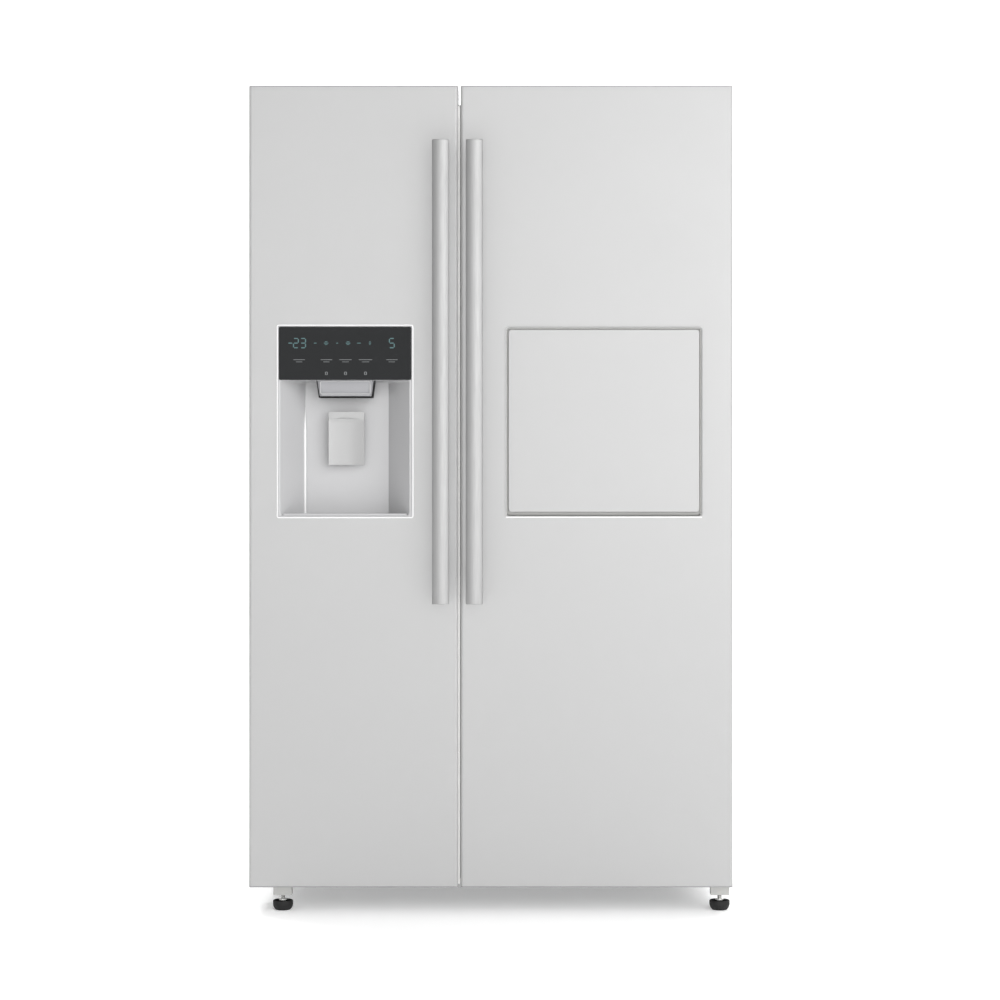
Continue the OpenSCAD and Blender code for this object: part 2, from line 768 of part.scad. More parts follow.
module compressor() {
    color(black) {
        translate([comp_x, comp_y, case_z0 + 30]) cylinder(r = comp_r, h = 70);
        translate([comp_x, comp_y, case_z0 + 100]) sphere(r = comp_r);
        for (sx = [-1, 1], sy = [-1, 1]) {
            translate([comp_x + sx * 62, comp_y + sy * 62, case_z0 + 2]) cylinder(r = 13, h = 22);
        }
        slab([comp_x - 80, comp_y - 76, case_z0 + 22], [comp_x + 80, comp_y + 76, case_z0 + 34]);
    }
}
module condenser_coil() {
    color(copper) for (dy = [-30, 0, 30])
        translate([-210, fan_y + dy, case_z0 + 26]) serpentine(200, 6, 30, 3.5);
    color(copper) for (dx = [-70, 70])
        slab([-210 + dx - 1, fan_y - 36, case_z0 + 2], [-210 + dx + 1, fan_y + 36, case_z0 + 192]);
}
module fan_shroud() {
    half = shroud_half;
    color(dark) difference() {
        slab([cond_fan_x - 34, fan_y - half - 4, case_z0 + 2],
            [cond_fan_x + 8, fan_y + half + 4, machine_z1 - 20]);
        rod_x([cond_fan_x - 5, fan_y, cond_fan_z], fan_r + 3, 14);
        slab([cond_fan_x - 35, fan_y - half, case_z0 + 6], [cond_fan_x + 4, fan_y + half, machine_z1 - 24]);
    }
}
module drain_pan() {
    color("#55585a")
        open_box([-420, fan_y - 70, case_z0 + 2], [-330, fan_y + 70, case_z0 + 40], 2, [0, 0, 1]);
}
module machine_cover() {
    color(case_grey) difference() {
        slab([-case_x + case_t, y_back - case_t, case_z0 + 2], [case_x - case_t, y_back, machine_z1]);
        for (i = [0:13], j = [-1, 1])
            slab([j * 250 - 150, y_back - 4, case_z0 + 50 + i * 12],
                [j * 250 + 150, y_back + 1, case_z0 + 54 + i * 12]);
        rod_y([gland_x, y_back - 3, gland_z], 11, 6);
        rod_y([valve_x, y_back - 3, gland_z], 11, 6);
    }
}
module water_valve() {
    color("#3f6fb5") difference() {
        union() {
            rod_y([valve_x, y_back - 30, gland_z], 10.8, 30);
            slab([valve_x - 20, y_back - 70, gland_z - 16], [valve_x + 20, y_back - 28, gland_z + 34]);
        }
        rod_y([valve_x, y_back - 20, gland_z], valve_bore, 21);
    }
}
module cord_gland() {
    color(black) difference() {
        union() {
            rod_y([gland_x, y_back - 14, gland_z], 10.8, 14);
            rod_y([gland_x, y_back - 14, gland_z], 14, 13);
        }
        rod_y([gland_x, y_back - 15, gland_z], gland_bore, 16);
    }
}

/* Rollers and feet */

module rear_roller(s) {
    x = s * (case_x - rail_in - rail_w / 2);
    difference() {
        rod_x([x - roller_w / 2, roller_y, roller_r], roller_r, roller_w);
        rod_x([x - roller_w / 2 - 1, roller_y, roller_r], axle_r + pin_gap, roller_w + 2);
    }
}
module rear_roller_left() {
    color(black) rear_roller(-1);
}
module rear_roller_right() {
    color(black) rear_roller(1);
}

module foot_cup(x) {
    translate([x, foot_y, 0]) rotate_extrude() polygon([[0, 0], [foot_r - 6, 0], [foot_r - 2, 4],
        [foot_r, 11], [foot_r, cup_h], [foot_r - 3, cup_h], [foot_r - 4, cup_h - 5], [0, cup_h - 5]]);
}
// Threaded stem: a hexagon collar above the cup, thread grooves and a plain end
module foot_stem(x) {
    thread = 2.5;
    top = bracket_z1 - 7;
    translate([x, foot_y, cup_h - 5]) {
        cylinder(r = stem_r + 5, h = 8, $fn = 6);
        cylinder(r = stem_r - 0.8, h = top - cup_h + 5);
        translate([0, 0, bracket_z1 - 5 - boss_h - cup_h + 5])
            cylinder(r = stem_r, h = top - bracket_z1 + 5 + boss_h);
        for (z = [9:thread:bracket_z1 - 5 - boss_h - cup_h + 5])
            translate([0, 0, z]) cylinder(r = stem_r, h = thread / 2);
    }
}
module left_foot_cup() {
    color(black) foot_cup(left_foot_x);
}
module left_foot_stem() {
    color("#cfcfcf") foot_stem(left_foot_x);
}
module right_foot_cup() {
    color(black) foot_cup(right_foot_x);
}
module right_foot_stem() {
    color("#cfcfcf") foot_stem(right_foot_x);
}

/* Freezer door */

// Outer shape of the dispenser housing behind the door's face
module dispenser_body() {
    back = niche_mid - niche_x0 - niche_splay + niche_t + 2;
    slab([disp_x0 + rim_w, y_door - rim_out, disp_z0 + rim_w],
        [disp_x1 - rim_w, y_door + 20, disp_z1 - rim_w]);
    translate([0, 0, disp_z0 + rim_w]) linear_extrude(panel_z0 + niche_t - disp_z0 - rim_w)
        polygon([[niche_x0 - niche_t, y_door + 10], [niche_x1 + niche_t, y_door + 10],
            [niche_mid + back, y_door + niche_d + niche_t], [niche_mid - back, y_door + niche_d + niche_t]]);
}
// Hollow of the niche, open at the front
module niche_hollow() {
    back = niche_mid - niche_x0 - niche_splay;
    translate([0, 0, niche_z0]) linear_extrude(panel_z0 - niche_z0)
        polygon([[niche_x0, y_door - rim_out - 1], [niche_x1, y_door - rim_out - 1], [niche_x1, y_door + 3],
            [niche_mid + back, y_door + niche_d], [niche_mid - back, y_door + niche_d],
            [niche_x0, y_door + 3]]);
}

module freezer_door_skin() {
    color(steel) difference() {
        door_skin(left_x0, left_x1, -1);
        slab([disp_x0 + rim_w, y_door - 5, disp_z0 + rim_w], [disp_x1 - rim_w, y_door + 5, disp_z1 - rim_w]);
    }
}
module freezer_door_caps() {
    color("#c4c4c4") door_caps(left_x0, left_x1, -1);
}
module freezer_door_foam() {
    color(foam_colour) difference() {
        union() {
            door_fill(left_x0, left_x1, -1);
            slab([disp_x0 + bulge_edge + liner_t, y_liner - 5, disp_z0 + liner_t],
                [disp_x1 - bulge_edge - liner_t, y_liner + bulge_d - liner_t, disp_z1 - liner_t]);
        }
        dispenser_body();
        outlet_duct();
    }
}
// Slanting ice duct from the freezer to the chute
module outlet_duct() {
    translate([niche_mid, chute_y1 - outlet_r - 4, panel_z0 - 8]) cylinder(r = outlet_r, h = 48);
    rod_y([niche_mid, chute_y1 - outlet_r - 4, panel_z0 + 40], outlet_r,
        y_liner + bulge_d - chute_y1 + outlet_r + 5);
}
module freezer_door_liner() {
    color(white) difference() {
        union() {
            door_back(left_x0, left_x1, -1);
            slab([disp_x0 + bulge_edge, y_liner - 1, disp_z0],
                [disp_x1 - bulge_edge, y_liner + bulge_d, disp_z1]);
        }
        slab([disp_x0 + bulge_edge + liner_t, y_liner - 5, disp_z0 + liner_t],
            [disp_x1 - bulge_edge - liner_t, y_liner + bulge_d - liner_t, disp_z1 - liner_t]);
        outlet_duct();
    }
}
module freezer_door_gasket() {
    color("#b4b4b2") door_gasket(left_x0, left_x1, pivot_in + 4, 8);
}
module freezer_handle() {
    color("#bdbdbd") handle(left_x1 - left_handle_in);
}
module freezer_door_bins() {
    color(clear, 0.6) door_bins(left_x0, left_x1, [560, disp_z0 - 150, disp_z1 + 40, disp_z1 + 200]);
}
module dispenser_housing() {
    color("#c6c6c6") difference() {
        union() {
            dispenser_body();
            difference() {
                slab([disp_x0, y_door - rim_out, disp_z0], [disp_x1, y_door, disp_z1]);
                slab([disp_x0 + rim_w, y_door - 5, disp_z0 + rim_w],
                    [disp_x1 - rim_w, y_door + 1, disp_z1 - rim_w]);
            }
        }
        niche_hollow();
        slab([disp_x0 + rim_w + 1, y_door - 5, panel_z0],
            [disp_x1 - rim_w - 1, y_door + 8, disp_z1 - rim_w - 1]);
        outlet_duct();
    }
    color("#c6c6c6") for (s = [-1, 1]) {
        rod_x([niche_mid + s * (paddle_w / 2 - 2) - 6, paddle_y, paddle_pivot_z], paddle_pin_r, 12);
        slab([niche_mid + s * (paddle_w / 2 + 4) - 3, paddle_y - 5, paddle_pivot_z - 5],
            [niche_mid + s * (paddle_w / 2 + 4) + 3, y_door + niche_d + 1, paddle_pivot_z + 5]);
    }
}
module display_panel() {
    color(dark)
        slab([disp_x0 + rim_w + 1, y_door - rim_out, panel_z0],
            [disp_x1 - rim_w - 1, y_door + 8, disp_z1 - rim_w - 1]);
}
module ice_chute() {
    z0 = panel_z0 - chute_h;
    color("#b5b5b5") difference() {
        slab([niche_mid - chute_w / 2, chute_y0, z0], [niche_mid + chute_w / 2, chute_y1, panel_z0]);
        slab([niche_mid - chute_w / 2 + 3, chute_y0 + 3, z0 - 1],
            [niche_mid + chute_w / 2 - 3, chute_y1 - 3, panel_z0 - 3]);
        outlet_duct();
    }
}
// Paddle: a dished plate with pin holes in its two upper ears
module dispenser_paddle() {
    dish_r = 90;
    half = paddle_w / 2;
    color("#cecece") difference() {
        union() {
            slab([niche_mid - half, paddle_y - 5, paddle_z1 - paddle_h],
                [niche_mid + half, paddle_y + 3, paddle_z1 - 12]);
            rod_x([niche_mid - half, paddle_y, paddle_pivot_z], 6, 2 * half);
            slab([niche_mid - half, paddle_y - 4, paddle_z1 - 14],
                [niche_mid + half, paddle_y + 3, paddle_pivot_z]);
        }
        translate([niche_mid, paddle_y - 3 - dish_r, paddle_z1 - paddle_h - 1])
            cylinder(r = dish_r, h = paddle_h - 14);
        rod_x([niche_mid - half - 1, paddle_y, paddle_pivot_z], paddle_pin_r + pin_gap, 2 * half + 2);
    }
}
// Spring-closed flap inside the ice chute
module chute_flap() {
    z = chute_flap_z;
    color(dark) {
        slab([niche_mid - outlet_r - 8, chute_y0 + 14, z - 3], [niche_mid + outlet_r + 8, chute_y1 - 8, z]);
        rod_x([niche_mid - chute_w / 2 + 3.1, chute_y0 + 14, z - 1.5], 2, chute_w - 6.2);
    }
}
module drip_grille() {
    back = niche_mid - niche_x0 - niche_splay;
    color("#a8a8a8") difference() {
        translate([0, 0, niche_z0]) linear_extrude(4)
            polygon([[niche_x0 + 6, y_door + 4], [niche_x1 - 6, y_door + 4],
                [niche_mid + back - 1, y_door + niche_d - 2], [niche_mid - back + 1, y_door + niche_d - 2]]);
        for (i = [-6:6])
            slab([niche_mid + i * 13 - 4, y_door + 14, niche_z0 - 1],
                [niche_mid + i * 13 + 4, y_door + niche_d - 12, niche_z0 + 5]);
    }
}

/* Refrigerator door */

module fridge_door_skin() {
    color(steel) difference() {
        door_skin(right_x0, right_x1, 1);
        slab([bar_x0 + 1, y_door - 5, bar_z0 + 1], [bar_x1 - 1, y_door + 5, bar_z1 - 1]);
    }
}
module fridge_door_caps() {
    color("#c4c4c4") door_caps(right_x0, right_x1, 1);
}
module fridge_door_foam() {
    color(foam_colour) difference() {
        door_fill(right_x0, right_x1, 1);
        slab([bar_x0 + 1, y_door - 5, bar_z0 + 1], [bar_x1 - 1, y_liner + 1, bar_z1 - 1]);
    }
}
module fridge_door_liner() {
    color(white) difference() {
        door_back(right_x0, right_x1, 1);
        slab([bar_x0 + 1, y_liner - 5, bar_z0 + 1], [bar_x1 - 1, y_liner + 1, bar_z1 - 1]);
    }
}
module fridge_door_gasket() {
    color("#b4b4b2") door_gasket(right_x0, right_x1, 8, pivot_in + 4);
}
module fridge_handle() {
    color("#bdbdbd") handle(right_x0 + right_handle_in);
}
module fridge_door_bins() {
    color(clear, 0.6) {
        door_bins(right_x0, right_x1, [560, bar_z0 - 150, bar_z1 + 40, bar_z1 + 200]);
        open_box([right_x0 + dyke_in + dyke_w + 0.3, y_liner, bar_z0 + 8],
            [right_x1 - dyke_in - dyke_w - 0.3, y_liner + gasket_t + bin_d, bar_z0 + 70], bin_t, [0, -1, 1]);
    }
}
// Frame that lines the home bar's opening, with a stop behind the flap and the flap's two pins
module homebar_frame() {
    color(steel) {
        difference() {
            slab([bar_x0 + 1, y_door, bar_z0 + 1], [bar_x1 - 1, y_liner, bar_z1 - 1]);
            slab([bar_x0 + bar_rim, y_door - 5, bar_z0 + bar_rim],
                [bar_x1 - bar_rim, y_liner + 1, bar_z1 - bar_rim]);
        }
        ring_y(bar_x0, bar_x1, bar_z0, bar_z1, bar_rim, y_door - 0.8, y_door);
        difference() {
            slab([bar_x0 + 1, y_door + flap_t + 2, bar_z0 + 1], [bar_x1 - 1, y_liner, bar_z1 - 1]);
            slab([bar_x0 + bar_rim + bar_stop, y_door, bar_z0 + bar_rim + bar_stop + 12],
                [bar_x1 - bar_rim - bar_stop, y_liner + 1, bar_z1 - bar_rim - bar_stop]);
        }
        for (x = [bar_x0 + bar_rim - 1, bar_x1 - bar_rim - 9])
            rod_x([x, flap_pivot_y, flap_pivot_z], flap_pin_r, 10);
    }
}
module homebar_flap() {
    color(steel) difference() {
        union() {
            slab([flap_x0, y_door, flap_z0], [flap_x1, y_door + flap_front, flap_z1]);
            slab([flap_x0 + flap_step, y_door + flap_front, flap_z0 + flap_step],
                [flap_x1 - flap_step, y_door + flap_t, flap_z1 - flap_step]);
        }
        slab([flap_x0 + flap_step + 16, y_door + flap_t - 12, flap_z0 + flap_step + 16],
            [flap_x1 - flap_step - 16, y_door + flap_t + 1, flap_z1 - flap_step - 16]);
        for (x = [flap_x0 - 1, flap_x1 - 9])
            rod_x([x, flap_pivot_y, flap_pivot_z], flap_pin_r + pin_gap, 10);
    }
}

outer_case();
back_panel();
bottom_deck();
cabinet_foam();
freezer_liner();
fridge_liner();
mullion_rail();
chassis_rails();
hinge_brackets();
hinge_covers();
hinge_screws();
glass_shelves();
shelf_trims();
rear_duct_covers();
evaporator_coil();
fan_motors();
lamp_covers();
ice_maker();
ice_bucket();
compressor();
condenser_coil();
fan_shroud();
drain_pan();
machine_cover();
water_valve();
cord_gland();
rear_roller_left();
rear_roller_right();
left_foot_cup();
left_foot_stem();
right_foot_cup();
right_foot_stem();
freezer_drawer_upper();
freezer_drawer_lower();
crisper_upper();
crisper_lower();
evaporator_fan();
condenser_fan();
freezer_door_skin();
freezer_door_caps();
freezer_door_foam();
freezer_door_liner();
freezer_door_gasket();
freezer_handle();
freezer_door_bins();
dispenser_housing();
display_panel();
ice_chute();
dispenser_paddle();
chute_flap();
drip_grille();
fridge_door_skin();
fridge_door_caps();
fridge_door_foam();
fridge_door_liner();
fridge_door_gasket();
fridge_handle();
fridge_door_bins();
homebar_frame();
homebar_flap();
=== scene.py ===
"""Looks of the side by side refrigerator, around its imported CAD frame."""
import json
import math
import bmesh
import bpy
import numpy as np
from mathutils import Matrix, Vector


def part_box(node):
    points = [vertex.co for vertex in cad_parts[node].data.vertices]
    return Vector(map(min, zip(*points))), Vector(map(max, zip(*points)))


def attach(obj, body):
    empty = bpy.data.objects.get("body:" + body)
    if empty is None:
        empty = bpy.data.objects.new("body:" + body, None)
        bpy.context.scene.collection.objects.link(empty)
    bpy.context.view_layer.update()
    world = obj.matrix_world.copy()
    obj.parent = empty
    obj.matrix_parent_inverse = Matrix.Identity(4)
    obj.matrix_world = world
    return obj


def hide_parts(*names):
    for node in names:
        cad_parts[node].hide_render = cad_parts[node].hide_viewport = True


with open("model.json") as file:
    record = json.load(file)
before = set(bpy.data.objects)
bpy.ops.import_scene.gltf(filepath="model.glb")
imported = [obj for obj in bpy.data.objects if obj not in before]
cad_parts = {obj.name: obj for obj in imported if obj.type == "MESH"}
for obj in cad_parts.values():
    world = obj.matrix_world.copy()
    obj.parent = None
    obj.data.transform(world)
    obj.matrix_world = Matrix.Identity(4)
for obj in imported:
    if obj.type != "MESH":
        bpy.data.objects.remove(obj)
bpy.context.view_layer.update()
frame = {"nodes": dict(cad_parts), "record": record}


# ---------- colour and node helpers ----------

def srgb(code):
    """Linear RGBA of an sRGB hex code: ((c + 0.055) / 1.055) ** 2.4 above 0.04045, c / 12.92 below."""
    parts = [int(code[i:i + 2], 16) / 255 for i in (1, 3, 5)]
    return [((c + 0.055) / 1.055) ** 2.4 if c > 0.04045 else c / 12.92 for c in parts] + [1.0]


def add(tree, kind, settings=None, links=None):
    """Adds one shader node: settings are its properties or input values, links are {input: output socket}."""
    node = tree.nodes.new(kind)
    for key, value in (settings or {}).items():
        if hasattr(node, key):
            setattr(node, key, value)
        else:
            node.inputs[key].default_value = value
    for key, socket in (links or {}).items():
        tree.links.new(socket, node.inputs[key])
    return node


def material(name, **shader_values):
    """A material with one Principled shader, its values set on the shader's own sockets."""
    mat = bpy.data.materials.new(name)
    mat.use_nodes = True
    tree = mat.node_tree
    shader = tree.nodes["Principled BSDF"]
    for key, value in shader_values.items():
        shader.inputs[key.replace("_", " ")].default_value = value
    return mat, tree, shader


def noise(tree, scale, detail=3.0, rough=0.5, stretch=(1, 1, 1)):
    """Noise in metres of object space: scale is in features per metre, stretch squeezes it along an axis."""
    coords = add(tree, "ShaderNodeTexCoord")
    mapping = add(tree, "ShaderNodeMapping", {"Scale": stretch}, {"Vector": coords.outputs["Object"]})
    return add(tree, "ShaderNodeTexNoise", {"Scale": scale, "Detail": detail, "Roughness": rough},
               {"Vector": mapping.outputs["Vector"]})


def bump(tree, shader, source, height, strength=1.0):
    """Bumps the surface by height in metres, which the source's 0 to 1 value scales."""
    node = add(tree, "ShaderNodeBump", {"Strength": strength, "Distance": height}, {"Height": source})
    tree.links.new(node.outputs["Normal"], shader.inputs["Normal"])


def vary(tree, shader, socket, source, low, high):
    """Maps a 0 to 1 source onto low to high and feeds one of the shader's sockets."""
    node = add(tree, "ShaderNodeMapRange", {"From Min": 0.3, "From Max": 0.7, "To Min": low, "To Max": high},
               {"Value": source})
    tree.links.new(node.outputs["Result"], shader.inputs[socket])


# ---------- materials: real material and how it was made ----------

def painted_steel(name, colour, rough=0.34):
    """Sheet steel, rolled, then powder coated with a fine metallic satin paint: faint orange peel."""
    mat, tree, shader = material(name, Base_Color=srgb(colour), Metallic=0.0, Roughness=rough,
                                 Coat_Weight=0.12, Coat_Roughness=0.3)
    peel = noise(tree, 420, 2.0)
    bump(tree, shader, peel.outputs["Fac"], 0.00003, 0.35)
    smear = noise(tree, 6, 3.0, 0.6)
    vary(tree, shader, "Roughness", smear.outputs["Fac"], rough - 0.03, rough + 0.03)
    return mat


def moulded(name, colour, rough=0.4, grain=0.00004, gloss=0.5):
    """Thermoplastic, injection moulded in a lightly spark-eroded mould: fine even grain."""
    mat, tree, shader = material(name, Base_Color=srgb(colour), Roughness=rough, Specular_IOR_Level=gloss)
    texture = noise(tree, 900, 2.0)
    bump(tree, shader, texture.outputs["Fac"], grain, 0.5)
    return mat


def clear_plastic(name, colour, alpha):
    """Clear polystyrene, injection moulded and polished: slightly tinted, sharp reflections."""
    mat, tree, shader = material(name, Base_Color=srgb(colour), Roughness=0.06, Alpha=alpha, IOR=1.55)
    wave = noise(tree, 30, 1.0)
    bump(tree, shader, wave.outputs["Fac"], 0.00015, 0.3)
    return mat


def metal(name, colour, rough, stretch=(1, 1, 1), scale=500, depth=0.00001):
    """Bare metal, drawn or ground along one axis: the grain is long where stretch is small."""
    mat, tree, shader = material(name, Base_Color=srgb(colour), Metallic=1.0, Roughness=rough)
    grain = noise(tree, scale, 3.0, 0.6, stretch)
    vary(tree, shader, "Roughness", grain.outputs["Fac"], rough - 0.05, rough + 0.07)
    bump(tree, shader, grain.outputs["Fac"], depth, 0.4)
    return mat


def rubber(name, colour, rough=0.75):
    """Soft vinyl or rubber, extruded or moulded: matt with a very fine powdery grain."""
    mat, tree, shader = material(name, Base_Color=srgb(colour), Roughness=rough)
    texture = noise(tree, 1200, 3.0)
    bump(tree, shader, texture.outputs["Fac"], 0.00006, 0.6)
    return mat


DOOR_PAINT = painted_steel("door_paint", "#a7a7a7")
LOOKS = {
    "door_steel": DOOR_PAINT,
    "case_steel": painted_steel("case_paint", "#a6a7a7", 0.42),
    "zinc_steel": metal("zinc_plated_steel", "#a8a8a6", 0.38),
    "white_plastic": moulded("liner_polystyrene", "#cdcdc9", 0.3),
    # The end caps' grey plastic, darkened so the thin cap strips read as dark lines at the doors' top and bottom edges:
    # partly the caps' own grey, partly painted shade.
    "grey_plastic": moulded("cap_plastic_and_painted_edge_shade", "#8f8f90", 0.42),
    "dark_plastic": moulded("dark_plastic", "#3a3b3d", 0.45),
    "black_plastic": moulded("black_nylon", "#1a1a1b", 0.5),
    "display_glass": moulded("display_lens", "#232425", 0.22, 0.0, 0.06),
    "clear_plastic": clear_plastic("clear_polystyrene", "#d3dddd", 0.32),
    "glass": clear_plastic("tempered_glass", "#d6ece6", 0.28),
    "lamp_lens": moulded("opal_lens", "#e4e4dc", 0.35),
    "copper": metal("copper_tube", "#b87548", 0.32),
    "coil_aluminium": metal("fin_aluminium", "#c9cbcc", 0.35),
    "handle_aluminium": metal("anodised_aluminium", "#a6a6a6", 0.58, (1, 1, 0.02), 900),
    "foam": moulded("polyurethane_foam", "#e3d6a8", 0.9, 0.0004),
    "gasket_rubber": rubber("gasket_vinyl", "#dededc"),
    "black_rubber": rubber("black_rubber", "#111112"),
    "compressor_black": painted_steel("compressor_paint", "#17181a", 0.35),
    "chrome": metal("zinc_chromed_steel", "#d2d2d0", 0.18),
    "valve_blue": moulded("valve_plastic", "#3a66a8", 0.4),
    "housing_plastic": moulded("dispenser_plastic", "#c2c2c3", 0.36),
}
slots = {s["node"]: s["material_slot"] for s in frame["record"]["subparts"]}
for name, obj in frame["nodes"].items():
    obj.data.materials.clear()
    obj.data.materials.append(LOOKS[slots[name]])

DISPENSER_PLASTIC = moulded("dispenser_plastic_satin", "#b2b2b3", 0.36)
# Darker copy of the dispenser plastic for the chute's spout: painted shade, for the shade its front face lies in.
PAINTED_SHADE_CHUTE_PLASTIC = moulded("chute_plastic_painted_shade", "#909093", 0.34)
PADDLE_PLASTIC = moulded("paddle_plastic_satin", "#a2a2a2", 0.3)
# Lighter copy of the dispenser plastic for the bezel, the niche's corner bead and the home bar's sill: painted
# highlight along these edges.
PAINTED_HIGHLIGHT_PLASTIC = moulded("bezel_plastic_painted_highlight", "#dedede", 0.2, 0.00002)
# Grey vinyl for the seal behind the home bar flap, a darker copy of the gasket vinyl toned to the shaded gap round the
# flap: painted shade.
PAINTED_SHADE_FLAP_SEAL = rubber("flap_seal_painted_shade", "#959593")
FIGURES = moulded("lit_figures", "#3f6264", 0.4, 0.0)
PRINT = moulded("printed_marks", "#6b6e6f", 0.6, 0.0)


# ---------- shapes: points computed with numpy, joined as quads ----------

def box(node):
    """Lowest and highest corner of a CAD node, as arrays, in metres."""
    return tuple(np.array(corner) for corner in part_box(node))


def islands(node):
    """Boxes of a CAD node's separate solids: triangles that share a corner point belong together."""
    mesh = frame["nodes"][node].data
    co = np.zeros(len(mesh.vertices) * 3)
    mesh.vertices.foreach_get("co", co)
    _, point = np.unique(co.reshape(-1, 3).round(5), axis=0, return_inverse=True)
    point = point.reshape(-1)
    corners = np.zeros(len(mesh.polygons) * 3, int)
    mesh.polygons.foreach_get("vertices", corners)
    triangles = point[corners.reshape(-1, 3)]
    label = np.arange(point.max() + 1)
    while True:
        low = label[triangles].min(1)
        new = label.copy()
        for k in range(3):
            np.minimum.at(new, triangles[:, k], low)
        new = new[new]
        if (new == label).all():
            break
        label = new
    found = []
    for value in np.unique(label):
        points = co.reshape(-1, 3)[label[point] == value]
        found.append((points.min(0), points.max(0)))
    return sorted(found, key=lambda b: (round(b[0][2], 4), b[0][0]))


def loft(rings, wrap=False, caps=True):
    """Quads between neighbouring points of neighbouring rings; each ring is closed on itself."""
    rings = np.asarray(rings, float)
    k, n = rings.shape[:2]
    faces = [(i * n + j, i * n + (j + 1) % n, (i + 1) % k * n + (j + 1) % n, (i + 1) % k * n + j)
             for i in range(k if wrap else k - 1) for j in range(n)]
    if caps and not wrap:
        faces += [tuple(range(n))[::-1], tuple(range((k - 1) * n, k * n))]
    return rings.reshape(-1, 3), faces


def grid(points, keep=lambda centre: True):
    """Quads over points[i][j], an open surface; a quad is left out where keep(its centre) is false."""
    points = np.asarray(points, float)
    m, n = points.shape[:2]
    faces = []
    for i in range(m - 1):
        for j in range(n - 1):
            centre = (points[i, j] + points[i + 1, j + 1]) / 2
            if keep(centre):
                faces.append((i * n + j, i * n + j + 1, (i + 1) * n + j + 1, (i + 1) * n + j))
    return points.reshape(-1, 3), faces


def merge(*parts):
    """Several shapes as one list of points and faces."""
    verts, faces, count = [], [], 0
    for points, quads in parts:
        verts.append(points)
        faces += [tuple(i + count for i in q) for q in quads]
        count += len(points)
    return np.concatenate(verts), faces


def rounded(lo, hi, radius, steps=5):
    """Rectangle with quarter-arc corners: centre + radius (cos a, sin a)."""
    r = max(min(radius, (hi[0] - lo[0]) / 2.01, (hi[1] - lo[1]) / 2.01), 1e-5)
    a = np.linspace(0, math.pi / 2, steps + 1)
    centres = ((hi[0] - r, hi[1] - r), (lo[0] + r, hi[1] - r), (lo[0] + r, lo[1] + r), (hi[0] - r, lo[1] + r))
    return np.concatenate([np.stack([c[0] + r * np.cos(a + q * math.pi / 2),
                                     c[1] + r * np.sin(a + q * math.pi / 2)], 1)
                           for q, c in enumerate(centres)])


def stand(flat, axis, level):
    """Flat points put in space, with the given axis' coordinate at level."""
    out = np.zeros((len(flat), 3))
    out[:, [i for i in range(3) if i != axis]] = flat
    out[:, axis] = level
    return out


def stack(lo, hi, profile, axis=1, corner=0.004, wrap=False, caps=True):
    """Rounded-rectangle rings: each profile entry is (inset from the outline, level along axis)."""
    side = [i for i in range(3) if i != axis]
    lo2, hi2 = np.asarray(lo)[side], np.asarray(hi)[side]
    return loft([stand(rounded(lo2 + d, hi2 - d, corner - d), axis, level) for d, level in profile], wrap, caps)


def turn_in(edge, start, end, steps=3):
    """Insets and levels of a slab with rounded edges: inset edge (1 - sin a) at edge (1 - cos a) from each face."""
    a = np.linspace(0, math.pi / 2, steps + 1)
    sign = 1 if end > start else -1
    first = [(edge * (1 - math.sin(t)), start + sign * edge * (1 - math.cos(t))) for t in a]
    return first + [(d, end - (level - start)) for d, level in first[::-1]]


def slab(lo, hi, axis=1, corner=0.002, edge=0.001):
    """Box with rounded outline corners and rounded edges on both faces."""
    return stack(lo, hi, turn_in(edge, lo[axis], hi[axis]), axis, corner)


def tray(lo, hi, wall, corner=0.012, edge=0.0012, draft=0.0):
    """Open-topped vessel: rings go up outside, over a rounded rim and down inside; draft narrows its base."""
    z0, z1 = lo[2], hi[2]
    profile = [(draft + edge, z0), (draft, z0 + edge), (edge / 2, z1 - edge), (edge, z1 - edge / 3),
               (wall / 2 + edge / 4, z1), (wall - edge / 4, z1 - edge / 3), (wall, z1 - edge),
               (draft + wall, z0 + wall + edge), (draft + wall + edge, z0 + wall)]
    return stack(lo, hi, profile, 2, corner)


def turned(profile, centre, axis=2, count=48):
    """Surface of revolution: profile is (radius, level along axis) from the centre, with closed ends."""
    a = np.linspace(0, 2 * math.pi, count, endpoint=False)
    side = [i for i in range(3) if i != axis]
    rings = []
    for radius, level in profile:
        ring = stand(np.stack([radius * np.cos(a), radius * np.sin(a)], 1), axis, level)
        ring[:, side] += np.asarray(centre)[side]
        ring[:, axis] += centre[axis]
        rings.append(ring)
    return loft(rings)


def tube(path, radius, count=14):
    """Round tube: a circle in the plane across the path's direction, at every point of the path."""
    path = np.asarray(path, float)
    ahead = np.gradient(path, axis=0)
    ahead /= np.linalg.norm(ahead, axis=1)[:, None]
    across = np.cross(ahead[0], (0.31, 0.52, 0.79))
    rings = []
    a = np.linspace(0, 2 * math.pi, count, endpoint=False)[:, None]
    for point, way in zip(path, ahead):
        across = across - way * across.dot(way)
        across /= np.linalg.norm(across)
        rings.append(point + radius * (np.cos(a) * across + np.sin(a) * np.cross(way, across)))
    return loft(rings)


def serpentine(centre, width, rows, pitch):
    """Path of straight runs along X, joined by half circles: x = w/2 + r cos a, z = middle + r sin a."""
    points = []
    for row in range(rows):
        s = 1 if row % 2 == 0 else -1
        points.append((-s * width / 2, 0, row * pitch))
        if row < rows - 1:
            for a in np.linspace(-math.pi / 2, math.pi / 2, 9):
                points.append((s * (width / 2 + pitch / 2 * math.cos(a)), 0, (row + 0.5 + math.sin(a) / 2) * pitch))
        else:
            points.append((s * width / 2, 0, row * pitch))
    return np.array(points) + centre


